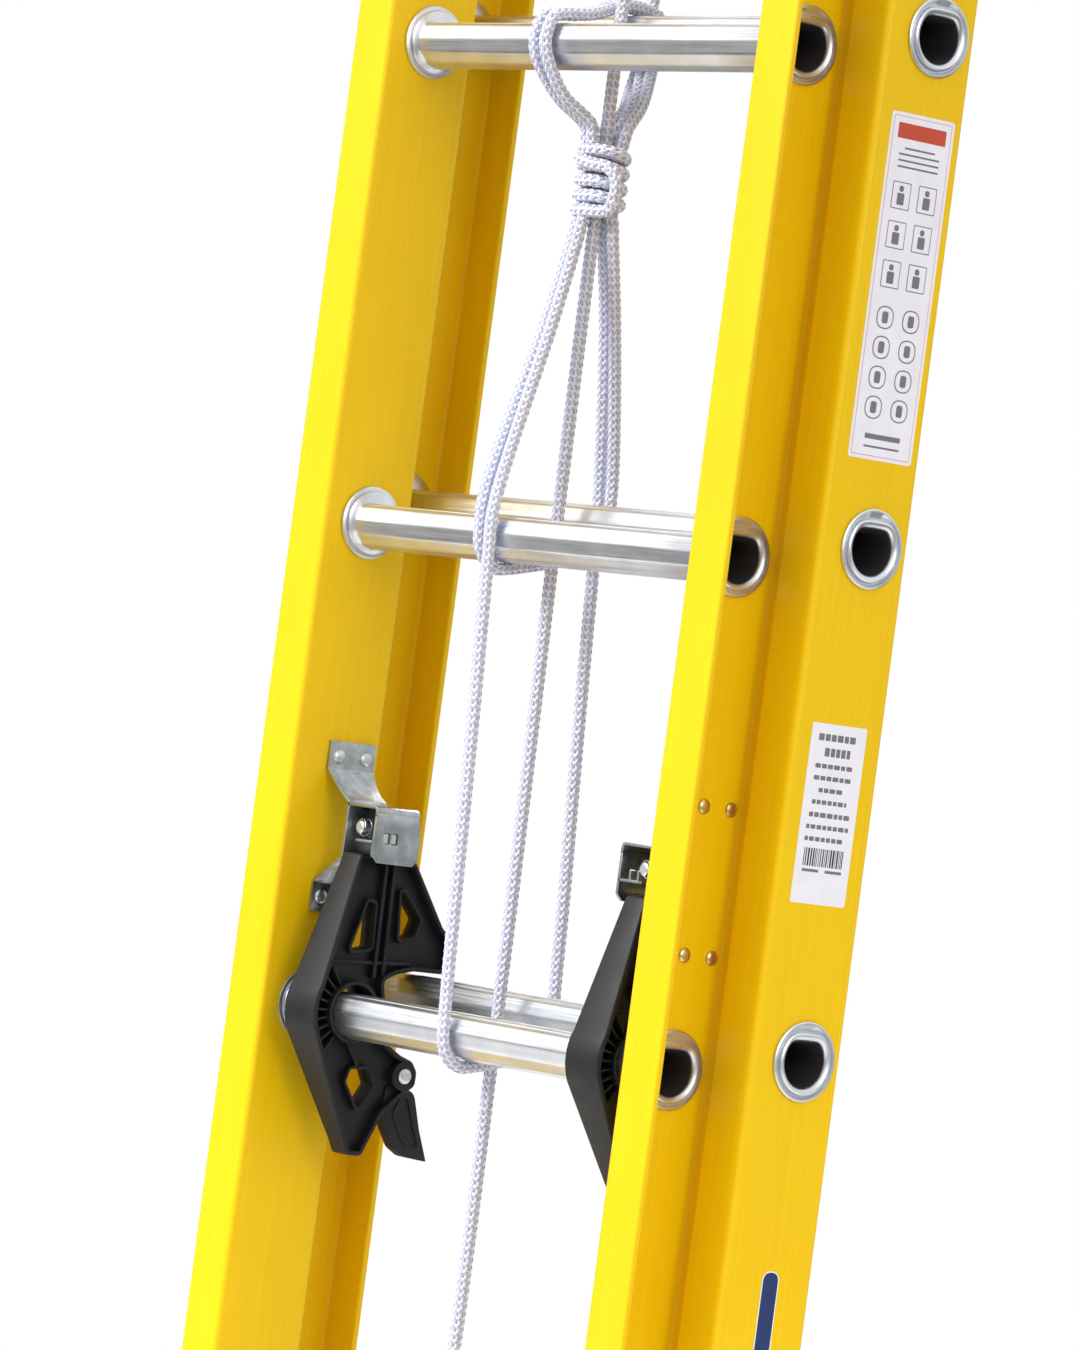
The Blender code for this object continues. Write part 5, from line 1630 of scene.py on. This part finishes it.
class Labels:
    """The two white labels and the blue badge on the right base rail, with generic marks only."""

    def __init__(self, datum: Datum) -> None:
        """Keep the places that the labels are measured from."""
        self.datum = datum

    def build(self, looks: Finishes) -> None:
        """Build all three."""
        self.build_tall(looks)
        self.build_small(looks)
        self.build_badge(looks)

    def build_tall(self, looks: Finishes) -> None:
        """A tall label: a red heading, then boxes and discs in two columns."""
        label = Label(self.datum, self.datum.by_lock(33, 366))
        label.mark(0, 0, 50, 202, 0, 0, 2.0, 4)
        label.mark(2.0, 2.0, 46, 198, 3, 1, 1.2, 3)
        label.mark(2.5, 2.5, 45, 197, 0, 2, 1.0, 3)
        label.mark(6, 187, 38, 9, 1, 3, 0.6, 2)
        for row in range(4):
            label.mark(9 if row else 13, 181 - 3.6 * row, 32 if row else 24, 1.1, 2, 3, 0.3)
        for row in range(3):
            for left in (7.5, 28.0):
                low = 146 - 23 * row
                label.mark(left, low, 14.5, 16, 2, 3, 0.8)
                label.mark(left + 0.6, low + 0.6, 13.3, 14.8, 0, 4, 0.6)
                label.mark(left + 4.2, low + 2.5, 5.6, 7.0, 2, 5, 0.8)
                label.disc(left + 5.2, low + 10.2, 3.6, 2, 5)
        for row in range(4):
            for left in (8.0, 28.5):
                low = 76 - 17.5 * row
                label.disc(left, low, 13.5, 2, 3)
                label.disc(left + 0.8, low + 0.8, 11.9, 0, 4)
                label.mark(left + 4.3, low + 3.3, 4.8, 7.0, 2, 5, 1.6, 3)
        label.mark(11, 12, 28, 3.0, 2, 3, 0.5)
        label.mark(11, 7, 28, 1.2, 2, 3, 0.4)
        label.finish("label_tall", looks.label_white, looks.label_red, looks.label_grey, looks.label_edge)

    def build_small(self, looks: Finishes) -> None:
        """A small label: grey lines over a row of bars."""
        label = Label(self.datum, self.datum.by_lock(33.6, 106))
        label.mark(0, 0, 43, 105, 0, 0, 1.6, 4)
        lines = [(6, 95, 31, 4.0), (12, 86, 20, 5.0), (6, 79, 31, 2.6), (6, 72, 31, 2.6), (11, 65, 20, 2.6)]
        lines += [(7, 58, 27, 2.6), (6, 50.5, 32, 2.8), (5, 43.5, 33, 2.6), (5, 36.5, 31, 2.6)]
        for left, low, wide, tall in lines:
            at = left
            while at < left + wide - 1.2:
                word = 2.6 + 2.1 * ((at * 7.3 + low) % 1.0)
                label.mark(at, low, min(word, left + wide - at), tall, 1, 1, 0.5)
                at += word + 0.9
        at = 6.0
        while at < 37:
            bar = 0.45 + 0.9 * ((at * 3.7) % 1.0)
            label.mark(at, 22, bar, 10.5, 2, 1, 0.05, 1)
            at += bar + 0.55 + 0.4 * ((at * 5.1) % 1.0)
        for left in (6, 24):
            label.mark(left, 18.6, 13, 1.7, 1, 1, 0.4)
        label.finish("label_small", looks.label_white, looks.label_grey, looks.label_black)

    def build_badge(self, looks: Finishes) -> None:
        """A blue badge with round ends and a pale keyline, and nothing on it."""
        label = Label(self.datum, self.datum.by_lock(51, -250))
        label.mark(0, 0, 13, 142, 0, 0, 6.4, 8)
        label.mark(0.7, 0.7, 11.6, 140.6, 1, 1, 5.7, 8)
        label.finish("badge_blue", looks.label_white, looks.label_blue)


# ---------------------------------------------------------------- studio


@dataclass
class Studio:
    """The camera, a small pale floor and soft light from the climbing side."""

    datum: Datum
    lens_mm: float = 183.8
    azimuth: float = 50.2
    elevation: float = 0.69
    roll: float = 7.53
    floor_m: float = 1.35

    def build_camera(self) -> None:
        """Set the camera at the view's own angle."""
        turn, tip = math.radians(self.azimuth), math.radians(self.elevation)
        ahead = Vector((-math.sin(turn) * math.cos(tip), math.cos(turn) * math.cos(tip), math.sin(tip)))
        facing = ahead.to_track_quat("-Z", "Y").to_matrix() @ Matrix.Rotation(math.radians(self.roll), 3, "Z")
        data = bpy.data.cameras.new("camera")
        data.lens, data.sensor_width, data.sensor_height, data.sensor_fit = self.lens_mm, 36.0, 36.0, "AUTO"
        data.clip_end = 60.0
        camera = bpy.data.objects.new("camera", data)
        y, z = self.datum.lock
        camera.matrix_world = Matrix.Translation((3.179, y - 2.639, z + 0.169)) @ facing.to_4x4()
        bpy.context.scene.collection.objects.link(camera)
        bpy.context.scene.camera = camera

    def build_light(self) -> None:
        """Set soft lamps and a bright surround."""
        lamps = {
            "key": ((-1.6, -4.2, 3.4), 2.6, 300.0, (1.0, 0.985, 0.96)),
            "fill": ((4.6, -1.0, 2.2), 2.4, 60.0, (0.97, 0.985, 1.0)),
            "rear": ((-2.6, 3.4, 2.8), 2.4, 90.0, (1.0, 1.0, 1.0)),
        }
        aim = Vector((0.0, 0.0, 1.0))
        for name, (at, size, power, colour) in lamps.items():
            data = bpy.data.lights.new(name, "AREA")
            data.shape, data.size, data.energy, data.color = "DISK", size, power, colour
            lamp = bpy.data.objects.new(name, data)
            lamp.matrix_world = Matrix.Translation(at) @ (
                aim - Vector(at)
            ).to_track_quat("-Z", "Y").to_matrix().to_4x4()
            bpy.context.scene.collection.objects.link(lamp)
        world = bpy.data.worlds.new("studio")
        world.use_nodes = True
        tree = world.node_tree
        tree.nodes.clear()
        up = add_node(tree, "ShaderNodeTexCoord").outputs["Generated"]
        height = add_node(tree, "ShaderNodeSeparateXYZ", {0: up}).outputs["Z"]
        level = add_node(tree, "ShaderNodeMapRange", {"Value": height}, {"From Min": -1.0}).outputs[0]
        ramp = add_node(tree, "ShaderNodeValToRGB", {"Fac": level})
        stops = ramp.color_ramp.elements
        stops[0].position, stops[0].color = 0.30, linear("#6E675E")
        stops[1].position, stops[1].color = 0.72, linear("#FFFFFF")
        middle_stop = stops.new(0.5)
        middle_stop.color = linear("#C9C9C8")
        around = add_node(tree, "ShaderNodeBackground", {"Color": ramp.outputs[0]}, {"Strength": 1.0})
        seen = add_node(tree, "ShaderNodeBackground", values={"Color": (1.0, 1.0, 1.0, 1.0), "Strength": 1.0})
        eye = add_node(tree, "ShaderNodeLightPath").outputs["Is Camera Ray"]
        both = add_node(tree, "ShaderNodeMixShader", {0: eye, 1: around.outputs[0], 2: seen.outputs[0]})
        add_node(tree, "ShaderNodeOutputWorld", {"Surface": both.outputs[0]})
        bpy.context.scene.world = world
        bpy.context.scene.view_settings.view_transform = "Standard"

    def build_floor(self) -> None:
        """Lay a round pale floor under the ladder."""
        shape = Shape()
        rim = [(self.floor_m * u, self.floor_m * v) for u, v in arc((0, 0), 1.0, 0, 356.25, 95)]
        shape.prism(rim, -0.012, -0.0002)
        s = Surface("matt painted board, pale grey", Roughness=0.8)
        s.feed("Base Color", s.mixed(s.noise(s.place, 6.0), linear("#DCDCDC"), linear("#E4E4E3")))
        floor = shape.to_object("floor", s.material)


# ---------------------------------------------------------------- the whole ladder


def build_ladder(datum: Datum, looks: Finishes) -> None:
    """Build every piece of the ladder.

    Args:
        datum: the shared places.
        looks: the materials.
    """
    for section in Section:
        for word in SIDES:
            Rail(section, word, datum).build(looks)
        for number in range(1, datum.rungs + 1):
            Rung(section, number, datum).build(looks)
    for word in SIDES:
        RungLock(word, datum).build(looks)
        LockBracket(word, datum).build(looks)
        Shoe(word, datum).build(looks)
        Trim(f"fly_guide_{word}", "fly").build(looks)
        Trim(f"base_guide_{word}", "base").build(looks)
        Trim(f"fly_cap_{word}", "fly").build(looks)
    Pulley(datum).build(looks)
    Lashing(datum).build(looks)
    Labels(datum).build(looks)


def main() -> None:
    """Build the camera, the ladder and the studio."""
    logging.basicConfig(level=logging.INFO, format="%(name)s: %(message)s")
    datum = Datum()
    studio = Studio(datum)
    studio.build_camera()
    build_ladder(datum, Finishes())
    studio.build_light()
    studio.build_floor()


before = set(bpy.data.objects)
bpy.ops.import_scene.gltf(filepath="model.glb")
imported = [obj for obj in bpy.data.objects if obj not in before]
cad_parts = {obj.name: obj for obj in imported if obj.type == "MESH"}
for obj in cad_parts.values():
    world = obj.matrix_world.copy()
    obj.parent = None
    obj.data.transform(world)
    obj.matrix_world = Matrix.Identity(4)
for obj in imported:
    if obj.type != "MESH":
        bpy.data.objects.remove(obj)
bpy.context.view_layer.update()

if __name__ == "__main__":
    main()
